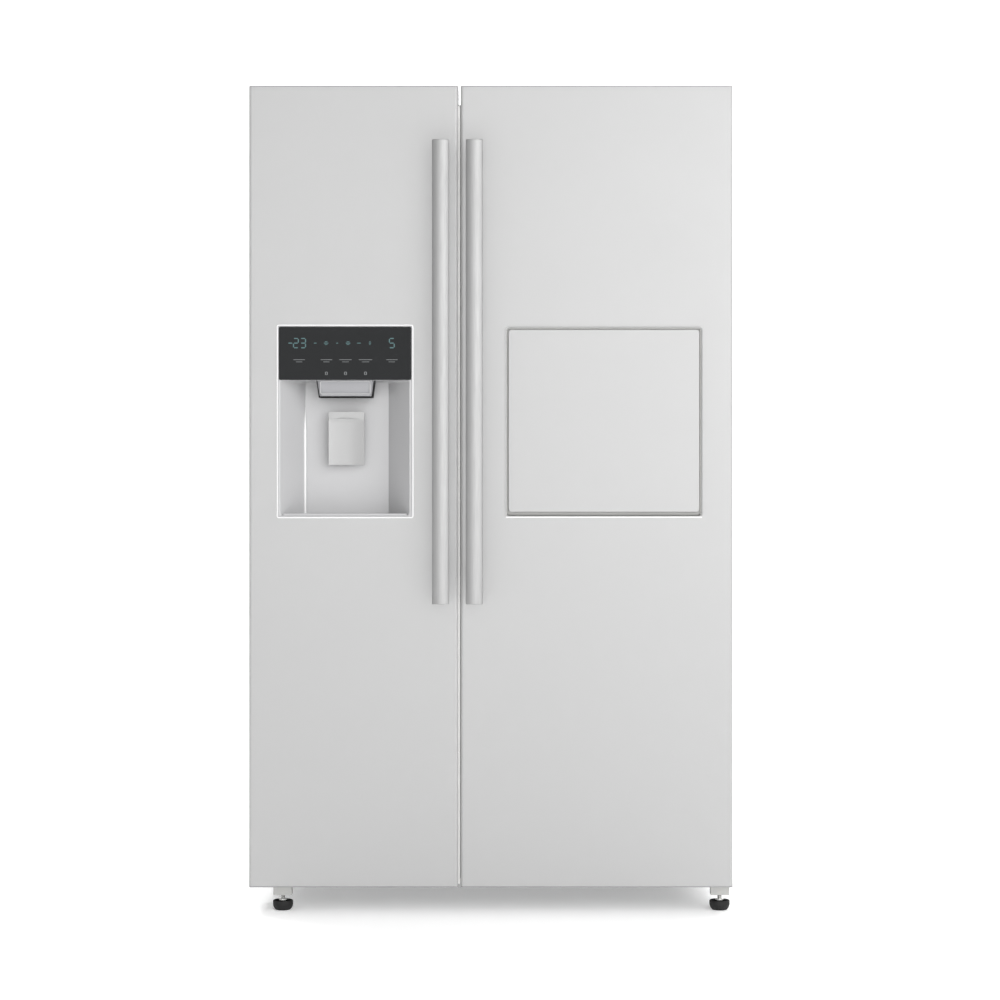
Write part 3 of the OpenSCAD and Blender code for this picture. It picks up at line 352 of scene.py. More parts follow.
def piece(name, shape, node, look=None, replace=True, closed=True, angle=32, slot=None):
    """Makes one object from a shape; it rides with node's body and stands for that node if replace is true."""
    mesh = bpy.data.meshes.new(name)
    mesh.from_pydata(np.asarray(shape[0]).tolist(), [], shape[1])
    work = bmesh.new()
    work.from_mesh(mesh)
    bmesh.ops.remove_doubles(work, verts=work.verts, dist=1e-6)
    if closed:
        bmesh.ops.recalc_face_normals(work, faces=work.faces)
    work.to_mesh(mesh)
    work.free()
    mesh.shade_smooth()
    mesh.set_sharp_from_angle(angle=math.radians(angle))
    mesh.materials.append(look or LOOKS[slot or slots[node]])
    obj = bpy.data.objects.new(name, mesh)
    bpy.context.scene.collection.objects.link(obj)
    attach(obj, body_of[node])
    if replace:
        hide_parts(node)
    if closed:
        obj.modifiers.new("flat_faces", "WEIGHTED_NORMAL").keep_sharp = True
    return obj


def soften(obj, width, segments=2, angle=32):
    """Rounds an object's edges above an angle, as a mould or a press does."""
    for old in [m for m in obj.modifiers if m.type == "WEIGHTED_NORMAL"]:
        obj.modifiers.remove(old)
    bevel = obj.modifiers.new("rounded_edges", "BEVEL")
    bevel.width, bevel.segments = width, segments
    bevel.limit_method, bevel.angle_limit = "ANGLE", math.radians(angle)
    bevel.use_clamp_overlap = True
    obj.modifiers.new("flat_faces", "WEIGHTED_NORMAL").keep_sharp = True
    return obj


body_of = {n: b for b, members in frame["record"]["behaviour"]["bodies"].items() for n in members}


# ---------- doors: skins, handles, gaskets, bins ----------

def door_skin(name, node, hole, notch_side):
    """Folded sheet: plan outline of returned edge, side, quarter arc and face, against height.
    The rows near the ends roll in by 0.8 mm; the hole and the hinge notch are left open."""
    lo, hi = box(node)
    radius, returned, roll = 0.007, 0.016, 0.0008
    notch_x, notch_y, notch_z = 0.033, 0.041, box("outer_case")[1][2] - 0.002
    quarter = np.linspace(0, math.pi / 2, 9)
    face_x = np.unique(np.r_[np.linspace(lo[0] + radius, hi[0] - radius, 9)[1:-1], hole[0], hole[2],
                             lo[0] + notch_x, hi[0] - notch_x])
    levels = np.unique(np.r_[np.linspace(lo[2] + 0.01, hi[2] - 0.01, 9), hole[1], hole[3], notch_z])
    ends = [(0.4 * roll, 0.0), (0.0, roll)]
    rows = ([(d, lo[2] + z) for d, z in ends] + [(0.0, z) for z in levels]
            + [(d, hi[2] - z) for d, z in ends[::-1]])
    surface = []
    for d, z in rows:
        plan = [(lo[0] + returned, hi[1]), (lo[0] + d, hi[1]), (lo[0] + d, hi[1] - notch_y)]
        plan += [(lo[0] + radius - (radius - d) * math.cos(a), lo[1] + radius - (radius - d) * math.sin(a))
                 for a in quarter]
        plan += [(x, lo[1] + d) for x in face_x]
        plan += [(hi[0] - radius + (radius - d) * math.sin(a), lo[1] + radius - (radius - d) * math.cos(a))
                 for a in quarter]
        plan += [(hi[0] - d, hi[1] - notch_y), (hi[0] - d, hi[1]), (hi[0] - returned, hi[1])]
        surface.append([(x, y, z) for x, y in plan])

    def keep(c):
        in_hole = hole[0] < c[0] < hole[2] and hole[1] < c[2] < hole[3] and c[1] < lo[1] + 0.002
        outer = c[0] < lo[0] + notch_x if notch_side < 0 else c[0] > hi[0] - notch_x
        return not in_hole and not (outer and c[1] > hi[1] - notch_y and c[2] > notch_z)

    obj = piece(name, grid(surface, keep), node, closed=False)
    sheet = obj.modifiers.new("sheet_thickness", "SOLIDIFY")
    sheet.thickness, sheet.offset = 0.0009, -1
    obj.modifiers.new("flat_faces", "WEIGHTED_NORMAL").weight = 80
    return obj


def hole_of(node, inset):
    """Opening in a door's face around a node: its outline, inset."""
    lo, hi = box(node)
    return lo[0] + inset, lo[2] + inset, hi[0] - inset, hi[2] - inset


door_skin("freezer_skin", "freezer_door_skin", hole_of("dispenser_housing", 0.003), -1)
door_skin("fridge_skin", "fridge_door_skin", hole_of("homebar_frame", 0.002), 1)


def handle(name, node):
    """Extruded bar: bowed face on the arc x = R sin a, y = R (1 - cos a), straight sides, chamfered back.
    Its ends roll in by 1.2 mm, and two waisted feet join it to the door."""
    lo, hi = box(node)
    mid, half, depth, bow = (lo[0] + hi[0]) / 2, (hi[0] - lo[0]) / 2, 0.020, 0.006
    big = (half * half + bow * bow) / (2 * bow)
    swing = math.asin(half / big)
    plan = [(big * math.sin(a), big * (1 - math.cos(a))) for a in np.linspace(-swing, swing, 25)]
    plan += [(half, depth), (half - 0.001, depth + 0.002), (half - 0.003, depth + 0.003),
             (0.003 - half, depth + 0.003), (0.001 - half, depth + 0.002), (-half, depth)]
    plan = np.array(plan)
    centre = np.array([0, depth / 2])
    rings = []
    for d, z in turn_in(0.0012, lo[2], hi[2], 4):
        flat = centre + (plan - centre) * (1 - d / half)
        rings.append(stand(flat + (mid, lo[1]), 2, z))
    parts = [loft(rings)]
    for z in (lo[2] + 0.070, hi[2] - 0.070):
        foot = [(0.0, lo[1] + depth + 0.002), (0.0015, lo[1] + depth + 0.008), (0.002, hi[1] - 0.008),
                (0.0, hi[1] - 0.001), (0.0, hi[1])]
        parts.append(stack((mid - 0.010, 0, z - 0.023), (mid + 0.010, 0, z + 0.023), foot, 1, 0.006))
    bar_piece = soften(piece(name, merge(*parts), node), 0.0008)
    bar_piece.visible_shadow = False
    return bar_piece


handle("left_handle_bar", "freezer_handle")
handle("right_handle_bar", "fridge_handle")


def gasket(name, node):
    """Extruded bellows, mitred round the door: the profile is (inset, share of the depth)."""
    lo, hi = box(node)
    bellows = [(0.0005, 0), (0.0030, 0.18), (0.0012, 0.38), (0, 0.55), (0, 0.90), (0.0008, 1), (0.0112, 1),
               (0.012, 0.90), (0.012, 0.55), (0.0108, 0.38), (0.0090, 0.18), (0.0115, 0)]
    profile = [(d, lo[1] + share * (hi[1] - lo[1])) for d, share in bellows]
    return piece(name, stack(lo, hi, profile, 1, 0.003, wrap=True), node, angle=50)


gasket("freezer_gasket", "freezer_door_gasket")
gasket("fridge_gasket", "fridge_door_gasket")


def door_bins(name, node):
    """Moulded bins, one to each solid of the node, with a thick rolled rim and a raised band round its top."""
    parts = []
    for lo, hi in islands(node):
        parts.append(tray(lo, hi, 0.0025, 0.014, 0.0012, 0.004))
        rim = [(-0.0005, hi[2] - 0.014), (-0.0015, hi[2] - 0.013), (-0.0015, hi[2] - 0.002), (0.0002, hi[2] - 0.0005),
               (0.0016, hi[2] - 0.002), (0.0016, hi[2] - 0.013)]
        parts.append(stack(lo + (0.0018, 0.0018, 0), hi - (0.0018, 0.0018, 0), rim, 2, 0.013, wrap=True))
    return piece(name, merge(*parts), node)


door_bins("freezer_bins", "freezer_door_bins")
door_bins("fridge_bins", "fridge_door_bins")


# ---------- water and ice dispenser ----------

disp_lo, disp_hi = box("dispenser_housing")
panel_lo, panel_hi = box("display_panel")
door_face = box("freezer_door_skin")[0][1]
niche_back = disp_hi[1] - 0.002
niche_lo = np.array([disp_lo[0] + 0.008, 0, disp_lo[2] + 0.006])
niche_hi = np.array([disp_hi[0] - 0.009, 0, panel_lo[2]])
SPLAY = 0.048


def dispenser_housing():
    """One moulded shell: rings from the outer back, round the bright rim, over the flange, into the niche.
    The niche's side walls slant inwards by SPLAY between the face and the back wall."""
    def ring(lo, hi, grow_x, grow_z, level, corner):
        return stand(rounded((lo[0] - grow_x, lo[2] - grow_z), (hi[0] + grow_x, hi[2] + grow_z), corner), 1, level)

    front = disp_lo[1]
    flange = door_face + 0.0012
    rings = [ring(niche_lo, niche_hi, 0.002 - SPLAY, 0.002, niche_back + 0.002, 0.008),
             ring(niche_lo, niche_hi, 0.002, 0.002, door_face + 0.012, 0.006),
             ring(disp_lo, disp_hi, -0.0042, -0.0042, door_face + 0.012, 0.004),
             ring(disp_lo, disp_hi, -0.0042, -0.0042, door_face + 0.0002, 0.004)]
    for grow, level in ((0.0, door_face + 0.0002), (0.0, front + 0.0009), (-0.0004, front + 0.0003), (-0.0012, front),
                        (-0.0026, front), (-0.0034, front + 0.0003), (-0.0038, front + 0.0009), (-0.0040, flange)):
        rings.append(ring(disp_lo, disp_hi, grow, grow, level, 0.005 + grow))
    for grow, level, corner in ((0.0012, flange, 0.005), (0.0003, flange + 0.0003, 0.005), (0.0, flange + 0.0012, 0.005)):
        rings.append(ring(niche_lo, niche_hi, grow, grow, level, corner))
    rings.append(ring(niche_lo, niche_hi, -SPLAY + 0.003, 0.0, niche_back - 0.006, 0.006))
    for a in np.linspace(0, math.pi / 2, 5)[1:]:
        grow = 0.004 * (1 - math.cos(a))
        rings.append(ring(niche_lo, niche_hi, -SPLAY + 0.003 - grow, -grow, niche_back - 0.006 + 0.006 * math.sin(a), 0.006))
    parts = [loft(rings)]
    # A raised bead up the niche's left back corner, in the lighter plastic: a painted highlight along that corner.
    bead_x, bead_top = niche_lo[0] + SPLAY - 0.001, niche_hi[2] - 0.055
    height = np.linspace(niche_lo[2] + 0.001, bead_top, 24)
    taper = np.clip((bead_top - height) / 0.05, 0.12, 1)
    path = np.stack([np.full(24, bead_x), np.full(24, niche_back - 0.0045), height], 1)
    angle = np.linspace(0, 2 * math.pi, 12, endpoint=False)
    bead = loft([p + np.stack([0.0030 * t * np.cos(angle), 0.0030 * t * np.sin(angle), 0 * angle], 1)
                 for p, t in zip(path, taper)])
    piece("niche_painted_highlight_bead", bead, "dispenser_housing", PAINTED_HIGHLIGHT_PLASTIC, replace=False)
    # The bezel ring round the housing's front is in the lighter plastic: a painted highlight on the rim.
    bezel = [(0.0004, door_face + 0.0001), (-0.0001, door_face), (-0.0001, front + 0.0008), (0.0004, front + 0.0001), (0.0012, front - 0.0001),
             (0.0022, front), (0.0041, door_face + 0.0006), (0.0038, door_face + 0.0010)]
    piece("dispenser_bezel", stack(disp_lo, disp_hi, bezel, 1, 0.005, wrap=True), "dispenser_housing", PAINTED_HIGHLIGHT_PLASTIC, replace=False)
    return piece("dispenser_shell", merge(*parts), "dispenser_housing", DISPENSER_PLASTIC)


dispenser_housing()
piece("display_lens", slab(panel_lo, (panel_hi[0], door_face + 0.0011, panel_hi[2]), 1, 0.0025, 0.0006), "display_panel")


def bar(x, z, width, height, y):
    """Thin printed bar, centred at x and z."""
    return slab((x - width / 2, y - 0.00012, z - height / 2), (x + width / 2, y, z + height / 2), 1, height / 2, 0.00005)


def digit(x, z, lit, size, y):
    """Seven-segment figure: a top, b and c right, d bottom, e and f left, g middle; lit names the bars shown."""
    w, h, t = size * 0.52, size, size * 0.11
    spots = {"a": (0, h / 2, 1), "g": (0, 0, 1), "d": (0, -h / 2, 1), "f": (-w / 2, h / 4, 0), "b": (w / 2, h / 4, 0),
             "e": (-w / 2, -h / 4, 0), "c": (w / 2, -h / 4, 0)}
    return [bar(x + spots[s][0], z + spots[s][1], w * 0.82 if spots[s][2] else t,
                t if spots[s][2] else h * 0.40, y) for s in lit]


def display_marks():
    """Temperature figures and plain function marks, printed on the lens; no words."""
    y = panel_lo[1] + 0.00002
    x0, top = panel_lo[0] + 0.003, panel_hi[2] - 0.0035
    lit = digit(x0 + 0.0215, top - 0.0315, "g", 0.0200, y) + digit(x0 + 0.0335, top - 0.0315, "abged", 0.0200, y)
    lit += digit(x0 + 0.0490, top - 0.0315, "abgcd", 0.0200, y) + digit(x0 + 0.2395, top - 0.0315, "afgcd", 0.0200, y)
    for k, width in enumerate((0.006, 0.010, 0.004, 0.010, 0.008, 0.005)):
        x = x0 + 0.075 + 0.0235 * k
        lit.append(bar(x, top - 0.0315, width, 0.0016, y))
        if k % 2:
            lit.append(bar(x, top - 0.0285, width * 0.6, 0.0012, y))
            lit.append(bar(x, top - 0.0345, width * 0.6, 0.0012, y))
    piece("display_figures", merge(*lit), "display_panel", FIGURES, replace=False)
    print_ = []
    for x, width in ((0.0405, 0.025), (0.099, 0.025), (0.140, 0.027), (0.183, 0.029), (0.2395, 0.025)):
        print_.append(bar(x0 + x, top - 0.0672, width, 0.0012, y))
        print_.append(bar(x0 + x, top - 0.0718, width * 0.55, 0.0011, y))
    for x in (0.099, 0.140, 0.183):
        for dx, dz, width, height in ((-0.002, 0, 0.0018, 0.006), (0.002, 0, 0.0018, 0.006), (0, 0.003, 0.004, 0.0010), (0, -0.003, 0.004, 0.0010)):
            print_.append(bar(x0 + x + dx, top - 0.0965 + dz, width, height, y))
    piece("display_print", merge(*print_), "display_panel", PRINT, replace=False)


display_marks()


def chute():
    """Tapered spout, open below: its sides close in by 5 mm and its front leans back by 3 mm."""
    lo, hi = box("ice_chute")
    parts = []
    for out, level in ((0.0, 0.0),):
        rings = []
        for share, inset, drop in ((1, 0, 0), (0, 0, 0.0012), (0, 0.0004, 0.0003), (0, 0.0012, 0), (0, 0.0022, 0),
                                   (0, 0.003, 0.0010), (1, 0.003, -0.003)):
            taper = 0.005 * (1 - share)
            flat = rounded((lo[0] + taper + inset, lo[1] + 0.003 * (1 - share) + inset), (hi[0] - taper - inset, hi[1] - inset),
                           0.008 - inset)
            rings.append(stand(flat, 2, lo[2] + share * (hi[2] - lo[2]) + drop))
        parts.append(loft(rings))
    # The spout takes the darker copy of the dispenser plastic: painted shade on its front face.
    piece("chute_spout", merge(*parts), "ice_chute", PAINTED_SHADE_CHUTE_PLASTIC)
    # A dark rubber band standing out round the spout's sides and front: painted shadow, a dark outline where the shadow
    # gap round the chute falls.
    rings = []
    for share in (1.0, 0.0):
        taper = 0.005 * (1 - share) - 0.0026
        flat = rounded((lo[0] + taper, lo[1] + 0.012), (hi[0] - taper, hi[1] - 0.002), 0.008)
        rings.append(stand(flat, 2, lo[2] - 0.0022 + share * (hi[2] - lo[2] + 0.0020)))
    inner = [stand(rounded((lo[0] + 0.006, lo[1] + 0.016), (hi[0] - 0.006, hi[1] - 0.006), 0.004), 2, z)
             for z in (lo[2] - 0.0022, hi[2] - 0.004)]
    piece("chute_painted_shadow_seal", loft([rings[0], rings[1], inner[0], inner[1]]), "ice_chute", replace=False, slot="black_rubber")
    rim_lo, rim_hi = np.array([lo[0] + 0.0065, 0, lo[2] + 0.0035]), np.array([hi[0] - 0.0065, 0, hi[2] - 0.001])
    face = [(0, lo[1] + 0.003), (0.0004, lo[1] - 0.0006), (0.0012, lo[1] - 0.0010), (0.0022, lo[1] - 0.0006), (0.0026, lo[1] + 0.003)]
    piece("chute_rim", stack(rim_lo, rim_hi, face, 1, 0.004, wrap=True), "ice_chute", DISPENSER_PLASTIC, replace=False)


chute()


def duct_sleeve():
    """Moulded sleeve of the ice duct: a rounded flange on the door's back and a round tube that ends at a dark seal."""
    lo, hi = box("freezer_door_liner")
    centre_x = (niche_lo[0] + niche_hi[0]) / 2
    centre_z = panel_lo[2] + 0.040
    face = disp_hi[1] + 0.0
    back = box("freezer_door_skin")[1][1] + 0.048
    sleeve = [(0.0285, back + 0.0002), (0.0285, back + 0.0012), (0.0275, back + 0.0022), (0.0245, back + 0.0022), (0.0232, back + 0.0010),
              (0.0228, back - 0.0480), (0.0238, back - 0.0480), (0.0238, back + 0.0002)]
    points, _ = turned(sleeve, (centre_x, 0, centre_z), 1, 48)
    piece("duct_sleeve", loft(points.reshape(len(sleeve), 48, 3), wrap=True), "freezer_door_liner", replace=False)
    seal = turned([(0.0010, back - 0.0475), (0.0226, back - 0.0475), (0.0226, back - 0.0440), (0.0180, back - 0.0430), (0.0010, back - 0.0440)],
                  (centre_x, 0, centre_z), 1, 48)
    piece("duct_seal", seal, "freezer_door_liner", LOOKS["black_rubber"], replace=False, slot="black_rubber")


duct_sleeve()


def paddle():
    """Dished plate: depth d (1 - (2u - 1)^2) across, fading out above a fold near the top edge."""
    lo, hi = box("dispenser_paddle")
    fold = hi[2] - 0.016
    height = np.r_[np.linspace(lo[2], fold, 22), np.linspace(fold + 0.0008, hi[2] - 0.0004, 10)]
    across = np.linspace(lo[0], hi[0], 29)
    front = []
    for z in height:
        u = (across - lo[0]) / (hi[0] - lo[0])
        share = 1 - (2 * u - 1) ** 2
        arch = 0.003 * share
        below = np.clip((fold + arch - z) / 0.004, 0, 1)
        ease = below * below * (3 - 2 * below)
        y = lo[1] + 0.0004 + 0.0052 * share * ease + 0.0006 * (1 - ease)
        front.append(np.stack([across, y, np.full_like(across, z)], 1))
    obj = piece("paddle_plate", grid(front), "dispenser_paddle", PADDLE_PLASTIC, closed=False)
    solid = obj.modifiers.new("plate_thickness", "SOLIDIFY")
    solid.thickness, solid.offset = 0.0030, -1
    soften(obj, 0.0007, 2, 50)
    long = hi[0] - lo[0]
    pin = turned([(0.0025, 0), (0.0043, 0), (0.0045, 0.0003), (0.0045, long - 0.0003), (0.0043, long), (0.0025, long)],
                 (lo[0], lo[1] + 0.006, hi[2] - 0.006), 0, 32)
    piece("paddle_barrel", pin, "dispenser_paddle", PADDLE_PLASTIC, replace=False)


paddle()


def grille():
    """Drip grille: a rounded frame that follows the niche's slanted sides, with bars from front to back."""
    lo, hi = box("drip_grille")
    mid = (lo[0] + hi[0]) / 2
    front, back = (hi[0] - lo[0]) / 2, (hi[0] - lo[0]) / 2 - 0.0435
    def outline(inset, level):
        f, b = front - inset, back - inset
        flat = [(mid - f, lo[1] + inset), (mid + f, lo[1] + inset), (mid + b, hi[1] - inset), (mid - b, hi[1] - inset)]
        return stand(np.array(flat), 2, level)
    rings = [outline(d, z) for d, z in ((0, lo[2]), (0, hi[2] - 0.0006), (0.0006, hi[2]), (0.0054, hi[2]), (0.006, hi[2] - 0.0006), (0.006, lo[2]))]
    parts = [loft(rings, wrap=True)]
    for k in range(-9, 10):
        x = mid + k * 0.0115
        slant = (front - abs(x - mid)) / 0.0435 * (hi[1] - lo[1])
        end = min(hi[1] - 0.004, lo[1] + max(slant, 0.006))
        parts.append(slab((x - 0.0018, lo[1] + 0.004, lo[2] + 0.0004), (x + 0.0018, end, hi[2] - 0.0004), 2, 0.0015, 0.0005))
    piece("grille_bars", merge(*parts), "drip_grille", DISPENSER_PLASTIC)


grille()


# ---------- home bar ----------

bar_lo, bar_hi = box("homebar_frame")
flap_lo, flap_hi = box("homebar_flap")
bar_face = box("fridge_door_skin")[0][1]


def homebar_frame():
    """Frame round the opening: a low rounded rim on the door's face, a deep lining, and a stop with a seal lip."""
    rim = [(0.001, bar_face + 0.0002), (0, bar_face + 0.0002), (0.0002, bar_lo[1] + 0.0003), (0.0006, bar_lo[1]),
           (0.0012, bar_lo[1]), (0.0018, bar_lo[1] + 0.0003), (0.0045, bar_face + 0.0030), (0.0045, bar_face + 0.042),
           (0.0045, bar_face + 0.0421), (0.0140, bar_face + 0.0421), (0.0145, bar_face + 0.0430),
           (0.0145, bar_hi[1]), (0.001, bar_hi[1])]
    low_stop = 0.012
    rings = []
    for d, level in rim:
        drop = low_stop if d >= 0.014 else 0
        rings.append(stand(rounded((bar_lo[0] + d, bar_lo[2] + d + drop), (bar_hi[0] - d, bar_hi[2] - d), 0.008 - 0.4 * d), 1, level))
    piece("bar_frame", loft(rings, wrap=True), "homebar_frame")
    lining = [(0.0046, bar_face + 0.0020), (0.0046, bar_face + 0.0418), (0.0052, bar_face + 0.0418), (0.0052, bar_face + 0.0020)]
    piece("bar_lining", stack(bar_lo, bar_hi, lining, 1, 0.007, wrap=True), "homebar_frame", LOOKS["white_plastic"],
          replace=False, slot="white_plastic")
    # A thin strip along the bottom of the frame, in the lighter plastic: a painted highlight on the opening's lower
    # lip.
    sill_lo = (bar_lo[0] + 0.002, bar_lo[1] - 0.0004, bar_lo[2] + 0.0004)
    sill_hi = (bar_hi[0] - 0.002, bar_face + 0.001, bar_lo[2] + 0.0038)
    piece("bar_painted_highlight_sill", slab(sill_lo, sill_hi, 1, 0.0016, 0.0012), "homebar_frame", PAINTED_HIGHLIGHT_PLASTIC, replace=False, slot="housing_plastic")
    lip = [(0.0100, bar_face + 0.0424), (0.0112, bar_face + 0.0404), (0.0126, bar_face + 0.0424)]
    piece("bar_seal", stack(bar_lo, bar_hi - (0, 0, 0), lip, 1, 0.012, wrap=True), "homebar_frame", replace=False, slot="gasket_rubber")


def homebar_flap():
    """Insulated flap: a rounded face panel, and behind it a stepped inner tray with a recess for cups."""
    front = [(d, y) for d, y in turn_in(0.0012, flap_lo[1], flap_lo[1] + 0.018)]
    step = 0.014
    back = flap_hi[1]
    rings = front[:-1] + [(0.001, flap_lo[1] + 0.018), (step, flap_lo[1] + 0.018), (step, back - 0.0015), (step + 0.0004, back - 0.0004),
                          (step + 0.0015, back), (step + 0.0145, back), (step + 0.0157, back - 0.0006), (step + 0.016, back - 0.0015),
                          (step + 0.017, back - 0.0105), (step + 0.0185, back - 0.012)]
    piece("bar_flap", stack(flap_lo, flap_hi, rings, 1, 0.007), "homebar_flap")
    # The seal shows in the gap round the flap; its darker vinyl is painted shade in that gap.
    reach, drop = 0.0029, 0.0065
    lo, hi = flap_lo - (reach, 0, drop), flap_hi + (reach, 0, reach)
    seal = []
    for share, depth in ((0, 0.0068), (0, 0.0060), (1, 0.0056), (1, 0.0076), (0, 0.0072)):
        low = lo + share * np.array([reach + 0.001, 0, drop + 0.001])
        high = hi - share * np.array([reach + 0.001, 0, reach + 0.001])
        seal.append(stand(rounded((low[0], low[2]), (high[0], high[2]), 0.006), 1, flap_lo[1] + depth))
    piece("flap_seal", loft(seal, wrap=True), "homebar_flap", PAINTED_SHADE_FLAP_SEAL, replace=False, slot="gasket_rubber")


homebar_frame()
homebar_flap()


# ---------- inside the compartments ----------

def shelf_glass():
    """Flat glass with ground edges, one to each solid of the node."""
    parts = [slab(lo, hi, 2, 0.006, 0.0012) for lo, hi in islands("glass_shelves")]
    piece("shelf_panes", merge(*parts), "glass_shelves")


def shelf_trims():
    """Extruded front edges: a rounded nose, flat above and below, and a thin strip along the top."""
    parts = []
    for lo, hi in islands("shelf_trims"):
        if hi[0] - lo[0] < 0.05:
            continue
        mid, high = (lo[1] + hi[1]) / 2, hi[2] - lo[2]
        nose = [(lo[1] + 0.006 - 0.006 * math.cos(a), lo[2] + high / 2 + high / 2 * math.sin(a))
                for a in np.linspace(-math.pi / 2, math.pi / 2, 13)]
        plan = np.array(nose + [(hi[1] - 0.001, hi[2]), (hi[1], hi[2] - 0.001), (hi[1], lo[2] + 0.001), (hi[1] - 0.001, lo[2])])
        parts.append(loft([stand(plan, 0, x) for x in (lo[0] + 0.0095, hi[0] - 0.0095)]))
        top = [(lo[1] + 0.012, hi[2] - 0.0006), (hi[1] - 0.001, hi[2] - 0.0006), (hi[1] - 0.001, hi[2] - 0.0035), (lo[1] + 0.012, hi[2] - 0.0035)]
        parts.append(loft([stand(np.array(top), 0, x) for x in (lo[0], hi[0])]))
    piece("shelf_noses", merge(*parts), "shelf_trims")


def drawer(name, node):
    """Pull-out drawer: a drafted tray, a thick rounded front that bows by 3 mm, and a hooked grip along its top."""
    lo, hi = box(node)
    wall_y = lo[1] + 0.022
    parts = [tray((lo[0], wall_y, lo[2]), hi, 0.0025, 0.010, 0.0012, 0.003)]
    across = np.linspace(0, 1, 21)
    x = lo[0] + 0.0005 + (hi[0] - lo[0] - 0.001) * across
    bow = 0.0030 * (1 - (2 * across - 1) ** 2)
    front, back = lo[1] + 0.0130 - bow, np.full(21, wall_y - 0.0002)
    outline = np.concatenate([np.stack([x, front], 1), np.stack([x, back], 1)[::-1]])
    centre = outline.mean(0)
    z0, z1 = lo[2] + 0.004, hi[2] - 0.002
    rings = [stand(centre + (outline - centre) * (1 - d / np.array([0.2, 0.006])), 2, z)
             for d, z in turn_in(0.0016, z0, z1)]
    parts.append(loft(rings))
    grip = [(0, 0), (0, -0.0050), (-0.0020, -0.0060), (-0.0090, -0.0055), (-0.0100, -0.0090), (-0.0115, -0.0090),
            (-0.0118, -0.0040), (-0.0105, 0.0)]
    plan = np.array([(lo[1] + 0.0118 + y, hi[2] - 0.010 + z) for y, z in grip])
    parts.append(loft([stand(plan, 0, x) for x in (lo[0] + 0.030, hi[0] - 0.030)]))
    for k in range(1, 4):
        z = z0 + k * (z1 - z0 - 0.03) / 4
        parts.append(slab((lo[0] + 0.035, lo[1] + 0.0102, z), (hi[0] - 0.035, lo[1] + 0.013, z + 0.004), 1, 0.0019, 0.0008))
    soften(piece(name, merge(*parts), node), 0.0005)


def ice_maker():
    """Ice maker: a rounded control body, a mould tray with fins across it, and a front panel with a small knob."""
    parts = []
    solids = islands("ice_maker")
    lo, hi = box("ice_maker")
    mould_top = hi[2] - 0.060
    parts.append(slab((lo[0], lo[1], mould_top), (hi[0], hi[1], hi[2]), 2, 0.012, 0.003))
    x0, x1, y0, y1 = lo[0] + 0.040, hi[0] - 0.040, lo[1] + 0.020, hi[1] - 0.040
    parts.append(slab((x0, y0, lo[2] + 0.004), (x1, y1, mould_top + 0.001), 2, 0.008, 0.002))
    count = 9
    for k in range(count + 1):
        y = y0 + 0.008 + k * (y1 - y0 - 0.016) / count
        parts.append(slab((x0 - 0.004, y - 0.001, lo[2]), (x1 + 0.004, y + 0.001, mould_top), 1, 0.01, 0.0004))
    front = lo[1]
    parts.append(slab((lo[0] + 0.012, front - 0.0010, mould_top + 0.010), (hi[0] - 0.012, front + 0.001, hi[2] - 0.010), 1, 0.006, 0.0006))
    parts.append(slab(((lo[0] + hi[0]) / 2 - 0.012, front - 0.0026, mould_top + 0.022), ((lo[0] + hi[0]) / 2 + 0.012, front, mould_top + 0.034),
                      1, 0.006, 0.0008))
    piece("ice_maker_body", merge(*parts), "ice_maker")


def ice_bucket():
    """Ice bucket: a drafted tray with a thick rim, two side runners, and an outlet frame on its front."""
    solids = islands("ice_bucket")
    lo, hi = box("ice_bucket")
    bodies = [b for b in solids if b[1][0] - b[0][0] > 0.1]
    runners = [b for b in solids if b[1][0] - b[0][0] <= 0.1]
    parts = []
    for a, b in bodies:
        parts.append(tray(a, b, 0.003, 0.016, 0.0014, 0.006))
        mid = (a[0] + b[0]) / 2
        frame_lo, frame_hi = np.array([mid - 0.042, a[1], a[2] + 0.010]), np.array([mid + 0.042, a[1], a[2] + 0.092])
        rim = [(0, a[1] + 0.0035), (0.0004, a[1] - 0.0010), (0.0016, a[1] - 0.0022), (0.0044, a[1] - 0.0022),
               (0.0056, a[1] - 0.0010), (0.006, a[1] + 0.0035)]
        parts.append(stack(frame_lo, frame_hi, rim, 1, 0.010, wrap=True))
        parts.append(slab((a[0] + 0.05, a[1] - 0.012, b[2] - 0.024), (b[0] - 0.05, a[1] + 0.002, b[2] - 0.014), 2, 0.005, 0.0015))
    parts += [slab(a, b, 1, 0.0035, 0.001) for a, b in runners]
    piece("ice_bucket_shell", merge(*parts), "ice_bucket")


def lamp_covers():
    """Opal lamp covers with rounded corners and a row of fine light ribs, 6 mm apart."""
    parts = []
    for lo, hi in islands("lamp_covers"):
        parts.append(slab(lo + (0, 0, 0.0008), hi, 2, 0.008, 0.002))
        for x in np.arange(lo[0] + 0.010, hi[0] - 0.009, 0.006):
            parts.append(slab((x - 0.0012, lo[1] + 0.006, lo[2]), (x + 0.0012, hi[1] - 0.006, lo[2] + 0.002), 2, 0.0011, 0.0006))
    piece("lamp_lenses", merge(*parts), "lamp_covers")


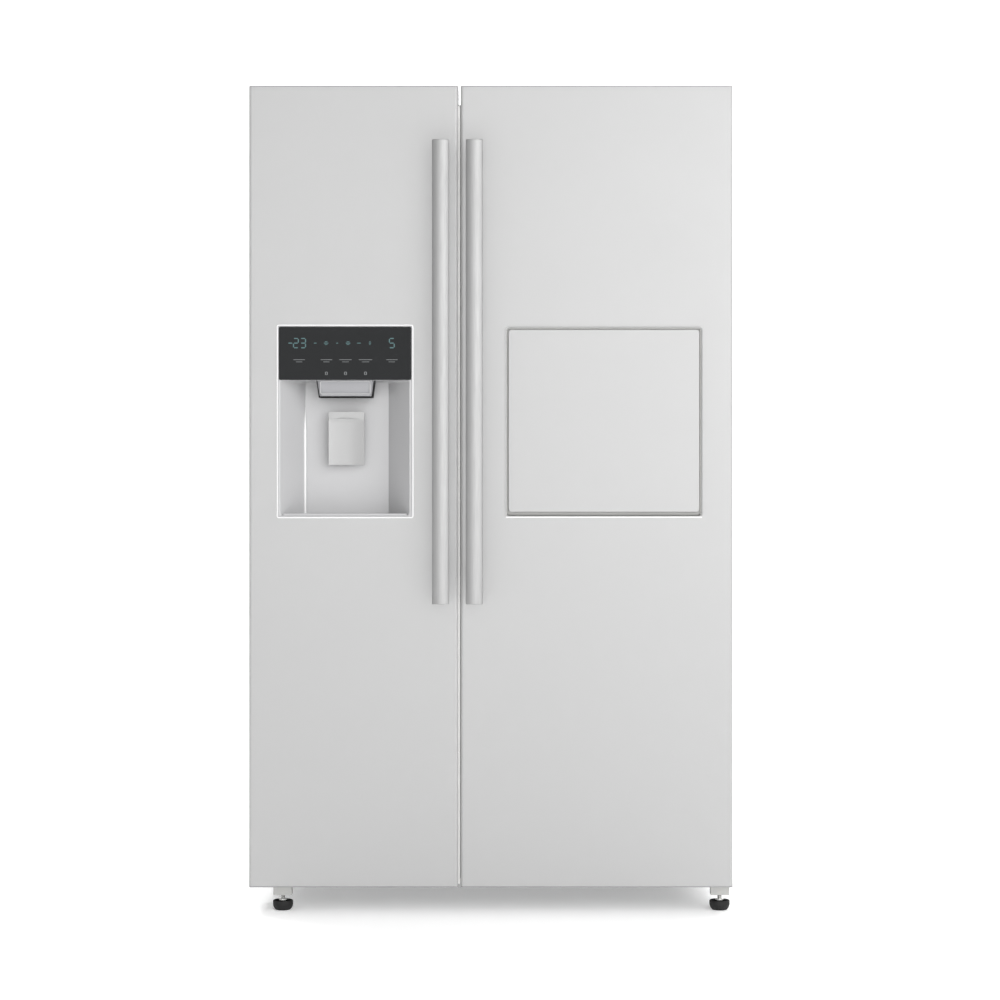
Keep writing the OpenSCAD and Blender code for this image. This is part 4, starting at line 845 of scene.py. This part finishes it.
def fan_wheel(name, node, axis):
    """Fan wheel: a round hub with chamfered ends and six blades; a blade's pitch falls from 34 degrees at the root to
    20 at its tip.
    """
    lo, hi = box(node)
    centre = (lo + hi) / 2
    flat = [i for i in range(3) if i != axis]
    outer = (hi[flat[0]] - lo[flat[0]]) / 2 - 0.0005
    hub = 0.014
    length = hi[axis] - lo[axis]
    hub_profile = [(0.0028, -length / 2), (hub - 0.002, -length / 2), (hub - 0.0006, -length / 2 + 0.0008), (hub, -length / 2 + 0.003),
                   (hub, length / 2 - 0.001), (hub - 0.001, length / 2), (0.0028, length / 2)]
    rings = turned(hub_profile, (0, 0, 0), 2, 36)
    parts = [rings]
    radii = np.linspace(hub - 0.002, outer, 10)
    chord = np.linspace(-0.5, 0.5, 9)
    for blade in range(6):
        upper, lower = [], []
        for r in radii:
            share = (r - radii[0]) / (radii[-1] - radii[0])
            width = 0.024 + 0.010 * math.sin(math.pi * min(share * 0.9 + 0.1, 1))
            pitch = math.radians(34 - 14 * share)
            swing = chord * width * math.cos(pitch) / max(r, 0.018)
            angle = blade * math.pi / 3 + swing + 0.15 * share
            height = np.clip(chord * width * math.sin(pitch) + 0.0012 * (1 - (2 * chord) ** 2), -length / 2, length / 2 - 0.001)
            ring = np.stack([r * np.cos(angle), r * np.sin(angle), height], 1)
            upper.append(ring)
            lower.append(ring - (0, 0, 0.0011))
        parts.append(loft([np.concatenate([u, l[::-1]]) for u, l in zip(upper, lower)]))
    points, faces = merge(*parts)
    turned_points = np.zeros_like(points)
    turned_points[:, flat[0]], turned_points[:, flat[1]], turned_points[:, axis] = points[:, 0], points[:, 1], points[:, 2]
    soften(piece(name, (turned_points + centre, faces), node), 0.0003, 1, 50)


def evaporator():
    """Evaporator: one serpentine tube through upright aluminium fins."""
    lo, hi = box("evaporator_coil")
    rows, pitch, radius = 10, 0.028, 0.004
    width = hi[0] - lo[0] - pitch - 2 * radius
    base = np.array([(lo[0] + hi[0]) / 2, (lo[1] + hi[1]) / 2, lo[2] + (hi[2] - lo[2] - (rows - 1) * pitch) / 2])
    parts = [tube(serpentine(base, width, rows, pitch), radius)]
    for k in range(23):
        x = base[0] - width / 2 + 0.010 + k * (width - 0.020) / 22
        parts.append(slab((x - 0.0002, lo[1], lo[2]), (x + 0.0002, hi[1], hi[2]), 0, 0.003, 0.0001))
    piece("evaporator_tube", merge(*parts), "evaporator_coil")


def condenser():
    """Condenser: three serpentine copper tubes, one behind another, held by two upright plates."""
    lo, hi = box("condenser_coil")
    rows, pitch, radius = 6, 0.030, 0.0035
    plates = [b for b in islands("condenser_coil")]
    depth = 0.030
    mid = (lo + hi) / 2
    width = hi[0] - lo[0] - pitch - 2 * radius
    parts = []
    for k in (-1, 0, 1):
        base = np.array([mid[0], mid[1] + k * depth, lo[2] + 0.024])
        parts.append(tube(serpentine(base, width, rows, pitch), radius))
    for x in (mid[0] - 0.070, mid[0] + 0.070):
        parts.append(slab((x - 0.0008, lo[1], lo[2]), (x + 0.0008, hi[1], hi[2]), 0, 0.004, 0.0002))
    piece("condenser_tubes", merge(*parts), "condenser_coil")


def compressor():
    """Hermetic compressor: two pressed half shells, round plan and superellipse profile
    r = R (1 - t^2.6)^(1/2.6), welded at a flange; rubber grommets, a terminal cover and three tube stubs."""
    lo, hi = box("compressor")
    mid = (lo + hi) / 2
    radius = 0.072
    base, top = lo[2] + 0.028, hi[2]
    seam = base + 0.062
    shell = [(0.03, base)] + [(radius * (1 - (1 - t) ** 3.2) ** (1 / 3.2), base + (seam - base) * t) for t in np.linspace(0.02, 0.95, 10)]
    shell += [(radius + 0.0026, seam - 0.0018), (radius + 0.0030, seam), (radius + 0.0026, seam + 0.0018)]
    shell += [(radius * (1 - t ** 2.6) ** (1 / 2.6), seam + 0.002 + (top - seam - 0.002) * t) for t in np.linspace(0.02, 0.995, 20)]
    parts = [turned(shell, (mid[0], mid[1], 0), 2, 64)]
    plate = slab((lo[0], lo[1], lo[2] + 0.020), (hi[0], hi[1], lo[2] + 0.023), 2, 0.014, 0.0008)
    grommets = []
    for sx in (-1, 1):
        for sy in (-1, 1):
            spot = (mid[0] + sx * 0.062, mid[1] + sy * 0.062, lo[2])
            grommets.append(turned([(0.006, 0), (0.012, 0), (0.013, 0.002), (0.013, 0.008), (0.009, 0.010), (0.009, 0.013), (0.013, 0.015),
                                    (0.013, 0.020), (0.011, 0.0235), (0.006, 0.0235)], spot, 2, 28))
    cover = slab((mid[0] - radius - 0.004, mid[1] - 0.022, seam - 0.040), (mid[0] - radius + 0.016, mid[1] + 0.022, seam + 0.010), 0, 0.005, 0.002)
    piece("compressor_shell", merge(*parts, plate), "compressor")
    piece("compressor_grommets", merge(*grommets), "compressor", replace=False, slot="black_rubber")
    piece("terminal_cover", cover, "compressor", replace=False, slot="black_plastic")
    stubs = []
    for dy, rise in ((-0.030, 0.020), (0.0, 0.032), (0.030, 0.012)):
        start = np.array([mid[0] - radius * 0.93, mid[1] + dy, seam + 0.010])
        steps = np.linspace(0, math.pi / 2, 10)
        bend = [start + (-0.014 * math.sin(a), 0, 0.014 * (1 - math.cos(a))) for a in steps]
        stubs.append(tube([start + (0.006, 0, 0)] + bend + [bend[-1] + (0, 0, rise)], 0.0032))
    piece("compressor_stubs", merge(*stubs), "compressor", replace=False, slot="copper")


# ---------- feet, rollers and small parts ----------

def foot(side):
    """Levelling foot: a turned cup with a tapered base and a grip ring, and a stem with a rolled thread.
    The thread's groove depth follows 0.5 + 0.5 cos(2 pi z / pitch - angle), so its crest is a helix."""
    lo, hi = box(side + "_foot_cup")
    mid, r, h = (lo + hi) / 2, (hi[0] - lo[0]) / 2, hi[2] - lo[2]
    cup = [(0.002, 0), (r - 0.0070, 0), (r - 0.0058, 0.0004), (r - 0.0050, 0.0014), (r - 0.0020, 0.0050), (r - 0.0006, 0.0090), (r, 0.0120),
           (r, h - 0.0020), (r - 0.0006, h - 0.0005), (r - 0.0016, h), (r - 0.0026, h - 0.0004), (r - 0.0034, h - 0.0018),
           (r - 0.0044, h - 0.0050), (0.002, h - 0.0050)]
    piece(side + "_cup", turned(cup, (mid[0], mid[1], lo[2]), 2, 64), side + "_foot_cup")
    lo, hi = box(side + "_foot_stem")
    mid = (lo + hi) / 2
    hexagon = [stand(mid[:2] + 0.0098 * (1 - d) * np.array([(math.cos(a), math.sin(a)) for a in np.arange(6) * math.pi / 3]), 2, z)
               for d, z in ((0.08, lo[2]), (0.0, lo[2] + 0.0008), (0.0, lo[2] + 0.0072), (0.08, lo[2] + 0.008))]
    angle = np.linspace(0, 2 * math.pi, 32, endpoint=False)
    pitch, rings = 0.0025, []
    for z in np.arange(lo[2] + 0.004, hi[2] - 0.0003, pitch / 8):
        crest = 0.5 + 0.5 * np.cos(2 * math.pi * z / pitch - angle)
        radius = 0.0043 + 0.0007 * crest
        rings.append(np.stack([mid[0] + radius * np.cos(angle), mid[1] + radius * np.sin(angle), np.full(32, z)], 1))
    piece(side + "_stem", merge(loft(hexagon), loft(rings)), side + "_foot_stem", angle=60)


def roller(name, node):
    """Nylon roller: turned about X, with rounded tread edges and a dished web around its bore."""
    lo, hi = box(node)
    mid, r, w = (lo + hi) / 2, (hi[2] - lo[2]) / 2, hi[0] - lo[0]
    half = w / 2
    web = [(0.0042, -half), (0.0085, -half), (0.0090, -half + 0.004), (r - 0.005, -half + 0.004), (r - 0.0045, -half), (r - 0.0015, -half),
           (r, -half + 0.002), (r, half - 0.002), (r - 0.0015, half), (r - 0.0045, half), (r - 0.005, half - 0.004), (0.0090, half - 0.004),
           (0.0085, half), (0.0042, half)]
    rings = turned(web, tuple(mid), 0, 48)
    count = len(web)
    points, _ = rings
    piece(name, loft(points.reshape(count, 48, 3), wrap=True), node)


def hinge_covers():
    """Moulded hoods over the upper hinges: a slab whose top edges roll over by 5 mm, hollow below."""
    parts = []
    for lo, hi in islands("hinge_covers"):
        out = turn_in(0.005, hi[2], lo[2], 5)[:6]
        rings = [(d, z) for d, z in out] + [(0, lo[2] + 0.0002), (0.002, lo[2] + 0.0002), (0.002, hi[2] - 0.006), (0.006, hi[2] - 0.002)]
        parts.append(stack(lo + (0, 0.0045, 0), hi, rings, 2, 0.008))
    piece("hinge_hoods", merge(*parts), "hinge_covers")


def domed_screw(spot, radius, axis, way):
    """Pan head: h = H sqrt(1 - (r / R)^2), turned about its axis; way is the side it faces."""
    head = [(radius * math.sin(a), way * 0.0022 * math.cos(a)) for a in np.linspace(0.06, math.pi / 2, 8)]
    return turned(head + [(radius, -way * 0.0004)], spot, axis, 24)


def screws():
    """Pan-head screws on the hinge plates, the back panel and the machine compartment's cover."""
    heads = []
    for lo, hi in islands("hinge_screws"):
        mid = (lo + hi) / 2
        heads.append(domed_screw((mid[0], mid[1], lo[2] + 0.0006), (hi[0] - lo[0]) / 2, 2, 1))
    piece("hinge_screw_heads", merge(*heads), "hinge_screws")
    lo, hi = box("back_panel")
    cover_lo = box("machine_cover")[0]
    spots = [(x, z) for x in (lo[0] + 0.012, hi[0] - 0.012) for z in np.linspace(cover_lo[2] + 0.03, hi[2] - 0.03, 9)]
    spots += [(x, z) for x in np.linspace(lo[0] + 0.16, hi[0] - 0.16, 5) for z in (lo[2] + 0.012, lo[2] - 0.012, hi[2] - 0.012)]
    heads = [domed_screw((x, hi[1] + 0.0003, z), 0.0042, 1, 1) for x, z in spots]
    piece("back_screw_heads", merge(*heads), "back_panel", LOOKS["zinc_steel"], replace=False, slot="zinc_steel")


def louvres():
    """Pressed hoods over the cover's air slots: a quarter-round scoop y = h sin a, z = w cos a, 2.5 mm proud."""
    lo, hi = box("machine_cover")
    angle = np.linspace(0, math.pi / 2, 7)
    parts = []
    for row in range(14):
        z = lo[2] + 0.048 + row * 0.012
        for side in (-1, 1):
            x0, x1 = side * 0.250 - 0.150, side * 0.250 + 0.150
            rings = []
            for x, share in ((x0 - 0.004, 0.1), (x0, 1), (x1, 1), (x1 + 0.004, 0.1)):
                outer = [(hi[1] + share * 0.0026 * math.sin(a), z + 0.0045 + 0.0045 * share * math.cos(a)) for a in angle]
                inner = [(hi[1] + share * 0.0018 * math.sin(a), z + 0.0045 + 0.0037 * share * math.cos(a)) for a in angle[::-1]]
                rings.append(stand(np.array(outer + inner), 0, x))
            parts.append(loft(rings))
    piece("louvre_hoods", merge(*parts), "machine_cover", replace=False)


def edge_lip():
    """Soft, pale lip along the freezer door's free edge, set in the gap between the doors so that the gap reads light:
    painted light.
    An extruded tongue with a rounded tip."""
    lo, hi = box("freezer_door_skin")
    right = box("fridge_door_skin")[0][0]
    top = box("outer_case")[1][2] - 0.014
    tip = [(hi[0] + 0.0030 + 0.0014 * math.sin(a), lo[1] + 0.0100 - 0.0012 * math.cos(a)) for a in np.linspace(0, math.pi, 9)]
    plan = np.array([(hi[0] - 0.0004, lo[1] + 0.0088)] + tip + [(hi[0] - 0.0004, lo[1] + 0.0112)])
    rings = [stand(plan, 2, z) for z in (lo[2] + 0.004, top)]
    piece("door_gap_painted_light_lip", loft(rings), "freezer_door_skin", LOOKS["gasket_rubber"], replace=False, slot="gasket_rubber")


shelf_glass()
shelf_trims()
for prefix in ("freezer_drawer", "crisper"):
    for place in ("upper", "lower"):
        drawer(prefix + "_" + place + "_tray", prefix + "_" + place)
ice_maker()
ice_bucket()
lamp_covers()
fan_wheel("evaporator_wheel", "evaporator_fan", 1)
fan_wheel("condenser_wheel", "condenser_fan", 0)
evaporator()
condenser()
compressor()
for side in ("left", "right"):
    foot(side)
    roller(side + "_roller", "rear_roller_" + side)
hinge_covers()
screws()
louvres()
edge_lip()

# The CAD nodes that are shown as they are: their loose triangles are joined and their edges rounded
EDGE_WIDTH = {"outer_case": 0.0015, "freezer_liner": 0.0012, "fridge_liner": 0.0012, "freezer_door_liner": 0.0020,
              "fridge_door_liner": 0.0020, "rear_duct_covers": 0.0010, "freezer_door_caps": 0.0008,
              "fridge_door_caps": 0.0008, "hinge_brackets": 0.0006, "chassis_rails": 0.0008}
for name, obj in frame["nodes"].items():
    if not obj.hide_render:
        obj.modifiers.new("joined_corners", "WELD").merge_threshold = 0.00001
        soften(obj, EDGE_WIDTH.get(name, 0.0004))


# ---------- stage, light and camera ----------

def plane_material(name, colour):
    """Seamless studio paper, rolled: matt and plain."""
    mat, tree, shader = material(name, Base_Color=srgb(colour), Roughness=0.95,
                                 Emission_Color=(1, 1, 1, 1), Emission_Strength=0.22)
    return mat


def stage():
    """A floor plane that turns up into a wall behind the object, in one smooth sweep."""
    half, depth, back, height, radius = 9.0, -9.0, 4.0, 8.0, 1.5
    arc = [(back - radius + radius * math.sin(a), radius - radius * math.cos(a))
           for a in np.linspace(0, math.pi / 2, 24)]
    profile = [(depth, 0.0)] + arc + [(back, height)]
    verts = [(x, y, z) for y, z in profile for x in (-half, half)]
    faces = [(2 * i, 2 * i + 1, 2 * i + 3, 2 * i + 2) for i in range(len(profile) - 1)]
    mesh = bpy.data.meshes.new("studio_sweep")
    mesh.from_pydata(verts, [], faces)
    obj = bpy.data.objects.new("studio_sweep", mesh)
    bpy.context.scene.collection.objects.link(obj)
    mesh.materials.append(plane_material("studio_paper", "#fdfdfd"))
    for face in mesh.polygons:
        face.use_smooth = True


def area_light(name, place, target, size, power):
    """A rectangular softbox at place, facing target."""
    light = bpy.data.lights.new(name, "AREA")
    light.shape = "RECTANGLE"
    light.size, light.size_y = size
    light.energy = power
    obj = bpy.data.objects.new(name, light)
    bpy.context.scene.collection.objects.link(obj)
    obj.location = place
    obj.visible_camera = False
    toward = Vector(target) - Vector(place)
    obj.rotation_euler = toward.to_track_quat("-Z", "Y").to_euler()
    return obj


stage()
area_light("softbox_right", (2.3, -3.4, 2.05), (0.1, 0, 1.0), (3.4, 3.0), 104)
area_light("softbox_left", (-4.5, -3.5, 2.2), (0, 0, 0.9), (2.5, 3.5), 4)
area_light("softbox_front", (0.2, -7.0, 1.9), (0, 0, 0.9), (5, 3), 130)
area_light("backdrop_left", (-2.6, 2.0, 5.2), (-2.2, 4.0, 1.2), (1.6, 1.6), 150)
area_light("backdrop_right", (2.6, 2.0, 5.2), (2.2, 4.0, 1.2), (1.6, 1.6), 110)
world = bpy.data.worlds.new("studio")
bpy.context.scene.world = world
world.use_nodes = True
world.node_tree.nodes["Background"].inputs["Color"].default_value = (1, 1, 1, 1)
world.node_tree.nodes["Background"].inputs["Strength"].default_value = 0.5

y_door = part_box("freezer_door_skin")[0][1]
CAMERA_DISTANCE = 5.0
FRAME_WIDTH = 2.148
camera = bpy.data.cameras.new("camera")
camera.sensor_width = 36.0
camera.lens = camera.sensor_width * CAMERA_DISTANCE / FRAME_WIDTH
camera_obj = bpy.data.objects.new("camera", camera)
bpy.context.scene.collection.objects.link(camera_obj)
camera_obj.location = (0.0198, y_door - CAMERA_DISTANCE, 0.8901)
camera_obj.rotation_euler = (math.pi / 2, 0, 0)
bpy.context.scene.camera = camera_obj
bpy.context.scene.view_settings.view_transform = "Standard"
